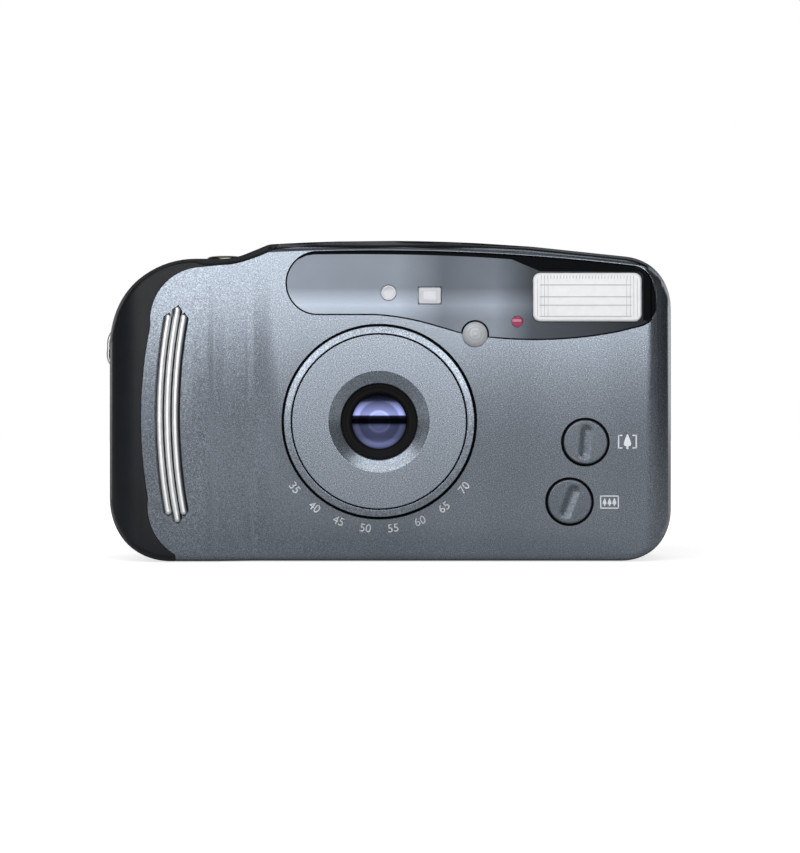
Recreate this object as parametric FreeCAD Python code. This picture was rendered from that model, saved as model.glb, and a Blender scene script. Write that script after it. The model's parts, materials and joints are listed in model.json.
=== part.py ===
import FreeCAD, Part
import math
import os

# Compact 35 mm film camera with a motor zoom lens, in millimetres.
# X points to the right of the front view, Y points to the back, Z points up.
# The origin is the mouth of the tripod socket, below the middle of the lens.

Vector = FreeCAD.Vector
FAR = 90.0               # reach of a cut that has to pass the whole body
PIN_SIDES = 12           # flats of small hidden pins, and of the holes they turn in
CAN_SIDES = 24           # flats of the battery, the capacitor and other hidden cans
BORE_SIDES = 48          # flats of the bores round the lens barrel

# Body outline seen from the front
left_x = -58.5
right_x = 63.3
shoulder_z = 65.0
shoulder_end_x = -31.5
kink_x = -23.8
kink_z = 68.24
crown_x = 15.1
crown_z = 70.4
right_top_z = 64.34
base_left_radius = 13.6
top_left_radius = 19.0
shoulder_radius = 14.0
kink_radius = 4.0
crown_radius = 400.0
top_right_radius = 11.3
base_right_radius = 11.0

# Body outline seen from above
front_y = -18.5
back_y = 18.5
grip_proud = 2.0
grip_end_x = -35.0
grip_foot_x = -27.0
grip_blend = 22.0
grip_corner_radius = 9.0
front_corner_radius = 7.5
front_edge_bevel = 1.5
rear_edge_bevel = 2.6
side_overrun = 1.2       # the plan is drawn past the sides, so that every front edge stays an edge

# Covers
wall = 2.2
rear_wall = 4.5          # depth of the frame round the film door
parting_gap = 0.12       # seam between two fixed covers
fit_gap = 0.15           # running gap round a button
door_gap = 0.3           # gap round a door
cover_back_y = -4.0      # rear edge of the front cover on the top, the right side and the base
cover_left_x = -51.0     # left edge of the front cover

# Left edge of the front cover: (distance in from its leftmost point, height)
edge_base_in = 7.0
edge_foot = (7.3, 1.5)
edge_low = (3.6, 4.9)
edge_low_end = (1.5, 13.6)
edge_bow = (0.0, 32.0)
edge_bow_end = (2.0, 50.5)
edge_top = (5.4, 59.9)
edge_top_end = (13.0, 63.1)

# Its upper edge: the seam runs up the step of the shoulder, (place across, height)
seam_shoulder = (-31.5, 63.8)
seam_step = (-27.9, 64.8)
seam_step_end = (-22.7, 67.0)
seam_crown = (-20.0, 70.0)

# Lens
axis_z = 30.0
barrel_radius = 18.5
barrel_wall = 1.2
barrel_proud = 5.5       # front of the barrel before the front cover, lens retracted
barrel_length = 24.5
recess_radius = 10.6
recess_floor_radius = 8.0
recess_depth = 2.2
front_wall = 3.4
barrel_fit = 0.15
ring_clearance = 0.3     # lens ring round the barrel
ring_wall = 1.5
ring_proud = 4.5
ring_taper = 0.8
ring_depth = 1.5
ring_gap = 0.3
housing_wall = 1.55
housing_corner = 3.0
housing_front_gap = 0.5
glass_radius = 5.8
glass_bulge_radius = 16.0
glass_thickness = 2.0
dome_steps = 3
cell_depth = 0.3
rear_glass_radius = 6.0
rear_hub_radius = 8.0
rear_disc_thickness = 1.2
rear_group_setback = 13.5
rear_group_length = 6.0
guide_count = 3            # arms that guide the rear lens group in the barrel
guide_width = 3.0
shutter_setback = 7.6
shutter_thickness = 1.0
aperture_radius = 3.6
aperture_margin = 1.0
blade_radius = 5.5
blade_sides = 8
blade_centre = 3.2
blade_thickness = 0.2
blade_pivot_x = 4.5
blade_pivot_drop = 10.5
pivot_radius = 0.6
blade_arm = 3.0
blade_layers = 5           # gap, leaf, gap, leaf, gap: each as thick as a leaf

# Zoom drive
ring_band = 0.87         # cam ring inside its teeth
pinion_teeth = 8
ring_teeth = 51
toothed_part = 25        # teeth that the cam ring carries, the rest of its rim is plain
ring_width = 2.5
ring_front_y = -1.0
tooth_height = 0.8       # above and below the pitch circle, in modules
tooth_depth = 1.1
tooth_tip_share = 0.11   # half widths of a tooth, in pitches
tooth_root_share = 0.3
pinion_angle = -120.6    # degrees from +X round the lens axis
pinion_shaft_radius = 0.75
motor_radius = 5.0
motor_length = 9.0
motor_gap = 0.6
post_inset = 2.7         # posts that carry the lens housing, in from its sides
post_radius = 1.6

# Film path
film_y = 13.6
gate_width = 36.0
gate_height = 24.0
plate_thickness = 2.0
chassis_left_x = -45.5
chassis_right_x = 53.5
chassis_base_z = 5.0
chassis_top_z = 53.6
chamber_wall = 0.8
chamber_base_z = 7.5
chamber_height = 45.0
cassette_x = 35.1
cassette_y = 3.2
cassette_radius = 12.9
takeup_x = -33.0
takeup_y = 5.5
takeup_radius = 9.6
spool_radius = 5.5
spool_gap = 0.4
spool_slot = 1.0
sprocket_x = -21.2
sprocket_setback = 2.4
sprocket_radius = 2.0
sprocket_tooth = 0.5
sprocket_teeth = 8
sprocket_shaft_radius = 1.1
sprocket_root_share = 0.25   # half widths of a sprocket tooth, in pitches
sprocket_tip_share = 0.12
perforation_spread = 14.1
lug_space = 4.4
lug_height = 2.8
lug_half = 1.6
fork_radius = 2.0
fork_length = 6.0
fork_gear_radius = 5.0
fork_gear_thickness = 1.0
bridge_half = 6.0        # web between the film plate and the battery tube
bridge_wall = 1.6
tunnel_wall = 1.0
tunnel_front_y = 2.4
tunnel_taper = 2.5

# Film door
door_left_x = -52.2
door_right_x = 58.0
door_base_z = 3.2
door_top_z = 55.3
door_thickness = 1.5
door_ledge = 1.5
hinge_x = -56.3
hinge_y = 14.7
hinge_radius = 2.5
hinge_base_z = 13.0
hinge_top_z = 47.0
hinge_pin_radius = 0.6
hinge_pin_reach = 3.5
door_sweep_radius = 4.7
pressure_gap = 0.2
pressure_thickness = 1.0
pressure_margin = 4.0
leaf_thickness = 0.25
leaf_half_width = 5.0
seal_width = 1.0
latch_z = 30.0
latch_height = 12.0
latch_width = 4.0
latch_y = 11.0
latch_lip = 0.3
latch_travel = 4.0
latch_proud = 0.6
catch_height = 2.5
catch_width = 2.0
catch_y = 10.8
door_window_width = 9.0
door_window_height = 26.0

# Controls
tele_x = 44.3
tele_z = 25.6
wide_x = 40.9
wide_z = 12.8
zoom_button_radius = 4.75
zoom_button_proud = 0.9
zoom_button_length = 3.9
groove_width = 2.8
groove_depth = 0.5
tele_groove_tilt = 5.0
wide_groove_tilt = 20.0
release_x = -34.0
release_y = -5.0
release_radius = 5.8
release_ring_width = 1.5
release_proud = 1.5
button_depth = 2.3
top_button_y = 7.0
top_button_proud = 0.5
power_x = 46.0
power_radius = 4.0
flash_mode_x = 26.0
self_timer_x = 33.5
mode_radius = 2.4
lcd_x = 8.0
lcd_width = 18.0
lcd_depth = 12.0
lcd_thickness = 1.6
rewind_x = 22.0
rewind_y = 11.0
rewind_radius = 1.4
rewind_sunk = 0.5

# Window panel on the front
panel_sunk = 0.15
panel_floor = 1.6
panel_end_x = -13.28
panel_end_z = 59.8
panel_end_radius = 6.79
panel_base_end_x = -1.06
panel_dip = (4.8, 52.35)     # the lower edge dips to the light sensor
panel_dip_end = (10.82, 51.0)
panel_notch = (17.77, 49.0)
panel_low = (34.15, 47.63)
panel_low_end = (51.54, 49.39)
panel_tip_base = (55.6, 50.4)
panel_tip_low = (58.6, 52.1)
panel_tip = (59.6, 55.3)
panel_tip_high = (59.3, 58.4)
panel_tip_end = (58.1, 61.2)
panel_tip_top = (56.7, 62.75)
panel_top_end = (54.6, 63.5)
panel_top = (20.5, 66.3)
flash_left_x = 33.0
flash_right_x = 56.4
flash_base_z = 51.5
flash_top_z = 62.0
flash_radius = 1.6
flash_proud = 0.7
finder_x = 10.86
finder_z = 57.1
finder_width = 4.94
finder_height = 3.65
af_x = 2.0
af_z = 57.7
af_radius = 1.64
sensor_x = 20.6
sensor_z = 48.8
sensor_radius = 2.7
sensor_dome = 1.5
lamp_x = 29.7
lamp_z = 51.5
lamp_radius = 1.18
window_gap = 0.05
dome_band = 0.6          # break between the two slopes of a domed window, in radii

# Viewfinder
finder_wall = 1.0
finder_half_width = 4.5
finder_base_z = 53.8
finder_top_z = 62.3
finder_front_gap = 0.4
eyepiece_width = 7.6
eyepiece_height = 5.5
eyepiece_z = 59.2
eyepiece_sunk = 0.6
finder_lens_y = -6.0
finder_lens_thickness = 1.6

# Electrics
battery_radius = 8.5
battery_length = 34.5
battery_x = -46.6
battery_y = -7.8
battery_base_z = 12.4
battery_fit = 0.25
battery_terminal_radius = 3.0
battery_terminal_height = 0.6
tube_setback = 1.6       # the battery stands out of both ends of its tube
contact_half = 3.0
contact_thickness = 0.5
battery_door_thickness = 1.5
battery_door_left_x = -55.2
battery_door_right_x = -37.4
battery_hinge_radius = 1.2
battery_pin_radius = 0.4
hatch_sunk = 0.2
hatch_pin_reach = 2.0
hatch_swing = 1.7        # room beside the knuckle for the open door
capacitor_radius = 6.0
capacitor_length = 36.0
capacitor_x = 54.9
capacitor_y = -2.0
capacitor_base_z = 11.0
board_left_x = -18.0
board_right_x = 45.0
board_half_depth = 12.0
board_thickness = 1.0
tube_radius = 1.2
flash_depth = 4.9
flash_margin = 2.0       # reflector inside the outline of the flash window
flash_wall = 0.5
af_depth = 8.0

# Mounts and fasteners
socket_bore_radius = 2.6
socket_bore_length = 6.0
socket_boss_radius = 3.9
socket_floor = 1.0
lug_base_z = 42.0
lug_top_z = 51.0
lug_reach = 2.6
lug_wire = 1.3
lug_corner = 1.8
screw_radius = 1.4
screw_length = 4.6
screw_sunk = 0.2
screw_left_x = -24.0
screw_middle_x = 12.0
screw_right_x = 48.0
screw_back_y = 12.0
screw_corner_y = 11.0
screw_front_y = 0.0

# Ribs on the grip
rib_count = 3
rib_pitch = 1.65
rib_width = 1.4
rib_proud = 0.6
rib_root = 0.9
rib_arc_radius = 116.0
rib_middle_x = -45.4
rib_middle_z = 31.5
rib_half_height = 23.1
rib_step = 1.6
rib_margin = 0.4         # dark line round each rib
rib_flats = 8            # flats along the bow of a rib
backing_thickness = 0.4

# Sizes that follow
grip_y = front_y - grip_proud
barrel_front_y = front_y - barrel_proud
barrel_rear_y = barrel_front_y + barrel_length
barrel_bore = barrel_radius - barrel_wall
ring_inner_radius = barrel_radius + ring_clearance
ring_radius = ring_inner_radius + ring_wall
housing_half = barrel_radius + barrel_fit + housing_wall
post_place = housing_half - post_inset
gear_module = 2 * (barrel_radius + barrel_fit + ring_band) / (ring_teeth - 2 * tooth_depth)
inner_front_y = front_y + wall
floor_y = front_y + panel_floor
panel_y = front_y + panel_sunk
pinion_radius = gear_module * pinion_teeth / 2
ring_pitch_radius = gear_module * ring_teeth / 2
drive_centre = pinion_radius + ring_pitch_radius
pinion_x = drive_centre * math.cos(math.radians(pinion_angle))
pinion_z = axis_z + drive_centre * math.sin(math.radians(pinion_angle))
plate_y = film_y - plate_thickness
door_inner_y = back_y - door_thickness
chamber_top_z = chamber_base_z + chamber_height
base_cut = (-FAR, 2 * wall)


def on_front(x, z):
    return Vector(x, 0, z)


def from_above(x, y):
    return Vector(x, y, 0)


def from_side(y, z):
    return Vector(0, y, z)


def box(x, y, z):
    """Block between the pairs x, y and z."""
    corner = Vector(min(x), min(y), min(z))
    return Part.makeBox(abs(x[1] - x[0]), abs(y[1] - y[0]), abs(z[1] - z[0]), corner)


def flat_sided(place, a, b, radius, sides):
    """Closed many-sided wire; small hidden pins and shafts are drawn with flats to stay light."""
    turns = [2 * math.pi * i / sides for i in range(sides + 1)]
    return Part.makePolygon([place(a + radius * math.cos(t), b + radius * math.sin(t)) for t in turns])


def rod_y(x, z, radius, y, sides=0):
    if sides:
        return prism_y(flat_sided(on_front, x, z, radius, sides), y)
    return Part.makeCylinder(radius, y[1] - y[0], Vector(x, y[0], z), Vector(0, 1, 0))


def rod_z(x, y, radius, z, sides=0):
    if sides:
        return prism_z(flat_sided(from_above, x, y, radius, sides), z)
    return Part.makeCylinder(radius, z[1] - z[0], Vector(x, y, z[0]), Vector(0, 0, 1))


def path(place, start, steps):
    """Closed wire: a step of 2 numbers is a line, one of 4 is an arc through its first point."""
    edges = []
    here = start
    for step in list(steps) + [start]:
        end = step[-2:]
        if len(step) == 4:
            edges.append(Part.Arc(place(*here), place(*step[:2]), place(*end)).toShape())
        elif (place(*end) - place(*here)).Length > 1e-6:
            edges.append(Part.LineSegment(place(*here), place(*end)).toShape())
        here = end
    return Part.Wire(edges)


def rounded(place, corners, arcs=True):
    """Closed wire through corners (a, b, radius); without arcs each corner is cut straight."""
    count = len(corners)
    turns = []
    for i in range(count):
        before = Vector(*corners[i - 1][:2])
        corner = Vector(*corners[i][:2])
        after = Vector(*corners[(i + 1) % count][:2])
        radius = corners[i][2]
        to_before = (before - corner).normalize()
        to_after = (after - corner).normalize()
        half = math.acos(max(-1.0, min(1.0, to_before.dot(to_after)))) / 2
        reach = radius / math.tan(half)
        inward = (to_before + to_after).normalize()
        middle = corner + inward * (radius / math.sin(half) - radius)
        turns.append((corner + to_before * reach, middle, corner + to_after * reach, radius))
    steps = []
    for start, middle, end, radius in turns:
        steps.append((start.x, start.y))
        if radius > 0 and arcs:
            steps.append((middle.x, middle.y, end.x, end.y))
        elif radius > 0:
            steps.append((end.x, end.y))
    return path(place, steps[0], steps[1:])


def rounded_box_corners(x, z, radius):
    return [(x[0], z[0], radius), (x[1], z[0], radius), (x[1], z[1], radius), (x[0], z[1], radius)]


def prism_y(wire, y):
    face = Part.Face(wire)
    face.translate(Vector(0, y[0], 0))
    return face.extrude(Vector(0, y[1] - y[0], 0))


def prism_z(wire, z):
    face = Part.Face(wire)
    face.translate(Vector(0, 0, z[0]))
    return face.extrude(Vector(0, 0, z[1] - z[0]))


def stepped(sections, x=0.0, z=axis_z, sides=BORE_SIDES):
    """Flat-sided solid through rings round the line along Y through x, z; sections are (radius, y)."""
    turns = [2 * math.pi * side / sides for side in range(sides)] + [0.0]
    rings = [[Vector(x + radius * math.cos(t), y, z + radius * math.sin(t)) for t in turns]
             for radius, y in sections]
    faces = [Part.Face(Part.makePolygon(ring)) for ring in (rings[0], rings[-1])]
    for near, far in zip(rings, rings[1:]):
        for side in range(sides):
            corners = [near[side], near[side + 1], far[side + 1], far[side], near[side]]
            faces.append(Part.Face(Part.makePolygon(corners)))
    shell = Part.Shell(faces)
    shell.sewShape()
    return Part.Solid(shell)


def joined(*pieces):
    solid = pieces[0].fuse(list(pieces[1:]))
    return solid.removeSplitter()


def outline_corners():
    return [
        (left_x, 0.0, base_left_radius),
        (left_x, shoulder_z, top_left_radius),
        (shoulder_end_x, shoulder_z, shoulder_radius),
        (kink_x, kink_z, kink_radius),
        (crown_x, crown_z, crown_radius),
        (right_x, right_top_z, top_right_radius),
        (right_x, 0.0, base_right_radius),
    ]


def plan_corners():
    left = left_x - side_overrun
    right = right_x + side_overrun
    return [
        (left, grip_y, grip_corner_radius),
        (grip_end_x, grip_y, grip_blend),
        (grip_foot_x, front_y, grip_blend),
        (right, front_y, front_corner_radius),
        (right, back_y, 0.0),
        (left, back_y, 0.0),
    ]


def outer_edges(solid, front):
    """Sharp edges round the front or round the back of the body."""
    found = []
    for edge in solid.Edges:
        y = edge.CenterOfMass.y
        if (front and y > front_y / 2) or (not front and y < back_y / 2):
            continue
        middle = edge.valueAt((edge.FirstParameter + edge.LastParameter) / 2)
        normals = []
        for face in solid.ancestorsOfType(edge, Part.Face):
            u, v = face.Surface.parameter(middle)
            normals.append(face.normalAt(u, v))
        if len(normals) == 2 and normals[0].getAngle(normals[1]) > 0.2:
            found.append(edge)
    return found


def envelope():
    """Outside of the whole body: front outline and plan crossed, then rounded front and back."""
    seen = prism_y(rounded(on_front, outline_corners()), (-FAR, FAR))
    above = prism_z(rounded(from_above, plan_corners()), (-FAR, FAR))
    solid = seen.common(above)
    solid = solid.makeChamfer(front_edge_bevel, outer_edges(solid, True))
    return solid.makeChamfer(rear_edge_bevel, outer_edges(solid, False))


def cavity():
    """Inside of the covers, with its corners cut straight."""
    seen = rounded(on_front, outline_corners(), arcs=False).makeOffset2D(-wall)
    corner = front_corner_radius - wall
    rear_y = back_y - rear_wall
    plan = [
        (left_x + wall, inner_front_y + corner),
        (left_x + wall + corner, inner_front_y),
        (right_x - wall - corner, inner_front_y),
        (right_x - wall, inner_front_y + corner),
        (right_x - wall, rear_y),
    ]
    above = path(from_above, (left_x + wall, rear_y), plan)
    return prism_y(seen, (-FAR, FAR)).common(prism_z(above, (-FAR, FAR)))


def front_zone(grow=0.0):
    """Space of the front cover, bounded on the left by its bowed edge."""
    def left_edge(*points):
        return tuple(value for inset, z in points for value in (cover_left_x + inset, z))

    wire = path(on_front, (cover_left_x + edge_base_in, -FAR), [
        left_edge(edge_foot),
        left_edge(edge_low, edge_low_end),
        left_edge(edge_bow, edge_bow_end),
        left_edge(edge_top, edge_top_end),
        seam_shoulder,
        seam_step + seam_step_end,
        seam_crown,
        (seam_crown[0], FAR),
        (FAR, FAR),
        (FAR, -FAR),
    ])
    if grow:
        wire = wire.makeOffset2D(grow)
    return prism_y(wire, (-FAR, cover_back_y + grow))


def panel_wire(grow=0.0):
    """Outline of the dark window panel, with its round left end."""
    top = panel_end_z + panel_end_radius
    base = panel_end_z - panel_end_radius
    wire = path(on_front, (panel_end_x, base), [
        (panel_base_end_x, base),
        panel_dip + panel_dip_end,
        panel_notch,
        panel_low + panel_low_end,
        panel_tip_base,
        panel_tip_low + panel_tip,
        panel_tip_high + panel_tip_end,
        panel_tip_top + panel_top_end,
        panel_top + (panel_end_x, top),
        (panel_end_x - panel_end_radius, panel_end_z, panel_end_x, base),
    ])
    return wire.makeOffset2D(grow) if grow else wire


def flash_wire(grow=0.0):
    corners = rounded_box_corners((flash_left_x - grow, flash_right_x + grow),
                                  (flash_base_z - grow, flash_top_z + grow), flash_radius + grow)
    return rounded(on_front, corners)


def finder_block(y, grow=0.0):
    half = (finder_width / 2 + grow, finder_height / 2 + grow)
    return box((finder_x - half[0], finder_x + half[0]), y, (finder_z - half[1], finder_z + half[1]))


def battery_hatch(y, inner, outer, grow=0.0):
    """Piece of the base and its left corner, between two depths, that opens for the battery."""
    face = Part.Face(rounded(on_front, outline_corners()).makeOffset2D(-outer))
    slab = face.cut(Part.Face(rounded(on_front, outline_corners()).makeOffset2D(-inner)))
    slab = slab.extrude(Vector(0, y[1] - y[0], 0))
    slab.translate(Vector(0, y[0], 0))
    window = box((left_x, battery_door_right_x + grow), y, (-wall, base_left_radius))
    reach = battery_door_right_x - battery_door_left_x + grow
    return slab.common([window.common(rod_y(battery_door_right_x, battery_hinge_z(), reach, y))])


def hatch_depth():
    reach = battery_radius + battery_fit
    return (battery_y - reach, battery_y + reach)


def rib_wire(index, grow=0.0):
    """One bowed rib with pointed ends, drawn with flats; index 0 is the middle one."""
    half_width = rib_width / 2 + grow
    half_height = rib_half_height - abs(index) * rib_step + grow
    centre_x = rib_middle_x + index * rib_pitch + rib_arc_radius

    def point(radius, reach):
        turn = math.asin(reach / rib_arc_radius)
        return Vector(centre_x - radius * math.cos(turn), 0, rib_middle_z + radius * math.sin(turn))

    reach = half_height - half_width
    places = [reach * (2 * step / rib_flats - 1) for step in range(rib_flats + 1)]
    inner = [point(rib_arc_radius - half_width, place) for place in places]
    outer = [point(rib_arc_radius + half_width, place) for place in reversed(places)]
    foot = point(rib_arc_radius, -half_height)
    return Part.makePolygon([foot] + inner + [point(rib_arc_radius, half_height)] + outer + [foot])


def rib_space(grow, y):
    """Space of all the ribs, grown by a margin, between two depths."""
    return joined(*[prism_y(rib_wire(index, grow), y) for index in rib_span()])


def rib_span():
    reach = (rib_count - 1) // 2
    return range(-reach, reach + 1)


def front_cover(body, inside):
    cover = body.common(front_zone()).cut(inside)
    y = (-FAR, inner_front_y + wall)
    cuts = [rod_y(0, axis_z, ring_radius + ring_gap, y, BORE_SIDES)]
    cuts.append(rod_y(tele_x, tele_z, zoom_button_radius + 2 * fit_gap, y, CAN_SIDES))
    cuts.append(rod_y(wide_x, wide_z, zoom_button_radius + 2 * fit_gap, y, CAN_SIDES))
    cuts.append(prism_y(panel_wire(parting_gap), (-FAR, floor_y)))
    cuts.append(rod_y(sensor_x, sensor_z, sensor_radius + fit_gap, (-FAR, floor_y)))
    cuts.append(finder_block(y, window_gap))
    cuts.append(rod_y(af_x, af_z, af_radius, y, CAN_SIDES))
    cuts.append(rod_y(lamp_x, lamp_z, lamp_radius, y, PIN_SIDES))
    x, _, z = flash_box()
    cuts.append(box(x, y, z))
    cuts.append(rib_space(rib_margin, (-FAR, grip_y + rib_root + backing_thickness)))
    cuts.append(rod_z(release_x, release_y, release_radius + fit_gap, (shoulder_z / 2, FAR), CAN_SIDES))
    cuts.append(battery_well())
    cuts.extend(battery_pocket())
    return cover.cut(cuts)


def battery_well():
    """Bore for the battery with the opening that its door closes."""
    top = battery_base_z + battery_length + battery_terminal_height + battery_fit
    bore = rod_z(battery_x, battery_y, battery_radius + battery_fit, (battery_door_thickness, top), CAN_SIDES)
    y = hatch_depth()
    wide = (y[0] - door_gap, y[1] + door_gap)
    hatch = battery_hatch(wide, wall + door_gap, -wall, door_gap)
    x = (battery_door_right_x, battery_door_right_x + hatch_swing)
    swing = box(x, wide, (-wall, battery_hinge_z()))
    knuckle = rod_y(battery_door_right_x, battery_hinge_z(), battery_hinge_radius + door_gap, wide, PIN_SIDES)
    return joined(bore, hatch, swing, knuckle)


def battery_pocket():
    """Room for the battery tube and for the hinge pin of its door in both covers."""
    base, top = battery_tube_span()
    radius = battery_radius + battery_fit + chamber_wall + fit_gap
    tube = rod_z(battery_x, battery_y, radius, (base - fit_gap, top + fit_gap), CAN_SIDES)
    pin = rod_y(battery_door_right_x, battery_hinge_z(), battery_pin_radius + window_gap, hatch_pin_span(),
                PIN_SIDES)
    return [tube, pin]


def battery_hinge_z():
    return battery_hinge_radius + 2 * fit_gap


def rear_cover(body, inside):
    cover = body.cut(front_zone(parting_gap)).cut(inside)
    cuts = [battery_well()] + battery_pocket()
    cuts.append(box((door_left_x + door_ledge, door_right_x - door_ledge), (0, FAR),
                    (door_base_z + door_ledge, door_top_z - door_ledge)))
    cuts.append(door_space(door_gap))
    cuts.append(box((finder_x - eyepiece_width / 2, finder_x + eyepiece_width / 2), (0, FAR),
                    (eyepiece_z - eyepiece_height / 2, eyepiece_z + eyepiece_height / 2)))
    z = (shoulder_z / 2, FAR)
    cuts.append(rod_z(release_x, release_y, release_radius + fit_gap, z, CAN_SIDES))
    for x, radius in top_buttons():
        cuts.append(rod_z(x, top_button_y, radius + fit_gap, z, CAN_SIDES))
    cuts.append(lcd_block((shoulder_z - wall, FAR), window_gap))
    cuts.append(rod_z(0, 0, socket_boss_radius + window_gap, base_cut, PIN_SIDES))
    cuts.append(rod_z(rewind_x, rewind_y, rewind_radius + fit_gap, base_cut, PIN_SIDES))
    cuts.append(latch_slot())
    for x, y in screw_places():
        cuts.append(rod_z(x, y, screw_radius + window_gap, base_cut, PIN_SIDES))
    cuts.append(rod_z(hinge_x, hinge_y, hinge_pin_radius + window_gap, pin_span(), PIN_SIDES))
    return cover.cut(cuts)


def top_buttons():
    return [(power_x, power_radius), (flash_mode_x, mode_radius), (self_timer_x, mode_radius)]


def pin_span():
    return (hinge_base_z - hinge_pin_reach, hinge_top_z + hinge_pin_reach)


def door_space(grow):
    """Space of the film door: a plate that ends on an arc about the hinge, and one long knuckle."""
    z = (door_base_z - grow, door_top_z + grow)
    plate = box((left_x, door_right_x + grow), (door_inner_y - grow, FAR), z)
    plate = plate.cut(rod_z(hinge_x, hinge_y, door_sweep_radius - grow / 2, z))
    plate = plate.cut(box((left_x - FAR, hinge_x), (0, FAR), z))
    z = (hinge_base_z - grow, hinge_top_z + grow)
    block = box((left_x - FAR, door_left_x + grow), (hinge_y - grow, FAR), z)
    knuckle = rod_z(hinge_x, hinge_y, hinge_radius + grow, z)
    return joined(plate, block, knuckle)


def latch_slot():
    half = latch_width / 2 - latch_lip
    z = (latch_z - latch_height / 2 - latch_travel, latch_z + latch_height / 2)
    return box((right_x - 2 * wall, FAR), (latch_y - half, latch_y + half), z)


def lcd_block(z, grow=0.0):
    half = (lcd_width / 2 + grow, lcd_depth / 2 + grow)
    return box((lcd_x - half[0], lcd_x + half[0]), (top_button_y - half[1], top_button_y + half[1]), z)


def screw_places():
    return [
        (screw_left_x, screw_back_y),
        (screw_middle_x, screw_back_y),
        (screw_right_x, screw_corner_y),
        (screw_right_x, screw_front_y),
    ]


def crown_height(x):
    """Height of the top where the crown arc covers it."""
    before = Vector(kink_x - crown_x, kink_z - crown_z, 0).normalize()
    after = Vector(right_x - crown_x, right_top_z - crown_z, 0).normalize()
    half = before.getAngle(after) / 2
    centre = Vector(crown_x, crown_z, 0) + (before + after).normalize() * (crown_radius / math.sin(half))
    return centre.y + math.sqrt(crown_radius ** 2 - (x - centre.x) ** 2)


def grip_backing():
    y = (grip_y + rib_root, grip_y + rib_root + backing_thickness)
    return rib_space(rib_margin - fit_gap, y)


def grip_ribs():
    y = (grip_y - rib_proud, grip_y + rib_root)
    return Part.makeCompound([prism_y(rib_wire(index), y) for index in rib_span()])


def window_panel(body):
    sheet = body.common(prism_y(panel_wire(), (panel_y, floor_y)))
    y = (-FAR, 0)
    return sheet.cut([
        rod_y(sensor_x, sensor_z, sensor_radius + fit_gap, y),
        rod_y(lamp_x, lamp_z, lamp_radius + window_gap, y, PIN_SIDES),
        rod_y(af_x, af_z, af_radius + window_gap, y, CAN_SIDES),
        finder_block(y, window_gap),
        prism_y(flash_wire(window_gap), y),
    ])


def dome(x, z, radius, rise, y):
    """Round window with a domed front; y runs from the foot of the dome to its back."""
    ball_radius = (radius ** 2 + rise ** 2) / (2 * rise)
    top = y[0] - rise
    band = radius * dome_band
    fall = ball_radius - math.sqrt(ball_radius ** 2 - band ** 2)
    return stepped([(radius, y[1]), (radius, y[0]), (band, top + fall)], x, z, CAN_SIDES)


def lens_ring():
    front = front_y - ring_proud
    back = front_y + ring_depth
    ring = stepped([(ring_radius, back), (ring_radius - ring_taper, front)])
    return ring.cut(rod_y(0, axis_z, ring_inner_radius, (front, back), BORE_SIDES))


def lens_barrel():
    wall_back = barrel_front_y + front_wall
    cone_foot = barrel_front_y + recess_depth
    barrel = rod_y(0, axis_z, barrel_radius, (barrel_front_y, barrel_rear_y), BORE_SIDES)
    return barrel.cut([
        stepped([(recess_floor_radius, cone_foot), (recess_radius, barrel_front_y)]),
        rod_y(0, axis_z, recess_floor_radius, (cone_foot, wall_back), BORE_SIDES),
        rod_y(0, axis_z, barrel_bore, (wall_back, barrel_rear_y), BORE_SIDES),
    ])


def front_lens_cell():
    y = (barrel_front_y + recess_depth + cell_depth, barrel_front_y + front_wall)
    cell = rod_y(0, axis_z, recess_floor_radius - window_gap, y, BORE_SIDES)
    return cell.cut(rod_y(0, axis_z, glass_radius + window_gap, y, CAN_SIDES))


def front_lens():
    """Front element with a domed face."""
    foot = barrel_front_y + recess_depth + cell_depth + window_gap
    sections = [(glass_radius, foot + glass_thickness - bulge(glass_radius))]
    for step in range(dome_steps):
        radius = glass_radius * (1 - step / dome_steps)
        sections.append((radius, foot + bulge(radius) - bulge(glass_radius)))
    return stepped(sections, sides=CAN_SIDES)


def bulge(radius):
    """How far the face of the front element falls back at a distance from its middle."""
    return glass_bulge_radius - math.sqrt(glass_bulge_radius ** 2 - radius ** 2)


def rear_lens_cell():
    y = (rear_group_y(), rear_group_y() + rear_group_length)
    cell = rod_y(0, axis_z, rear_hub_radius, y, CAN_SIDES)
    for step in range(guide_count):
        arm = box((0, barrel_bore - fit_gap), (y[1] - rear_disc_thickness, y[1]),
                  (-guide_width / 2, guide_width / 2))
        arm.rotate(Vector(0, 0, 0), Vector(0, 1, 0), 90 + step * 360 / guide_count)
        arm.translate(Vector(0, 0, axis_z))
        cell = cell.fuse(arm)
    return cell.cut(rod_y(0, axis_z, rear_glass_radius + window_gap, y, CAN_SIDES)).removeSplitter()


def rear_group_y():
    return barrel_front_y + rear_group_setback


def rear_lens():
    y = rear_group_y()
    span = (y + cell_depth, y + rear_group_length - cell_depth)
    return rod_y(0, axis_z, rear_glass_radius, span, CAN_SIDES)


def shutter_y():
    return barrel_front_y + shutter_setback


def pivot_places():
    z = axis_z - blade_pivot_drop
    return {"a": (-blade_pivot_x, z), "b": (blade_pivot_x, z)}


def shutter_base():
    front = shutter_y()
    y = (front, front + shutter_thickness)
    plate = rod_y(0, axis_z, barrel_bore - window_gap, y, CAN_SIDES)
    plate = plate.cut(rod_y(0, axis_z, aperture_radius + aperture_margin, y, CAN_SIDES))
    reach = blade_layers * blade_thickness
    for x, z in pivot_places().values():
        plate = plate.fuse(rod_y(x, z, pivot_radius, (front - reach, front), PIN_SIDES))
    return plate


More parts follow.
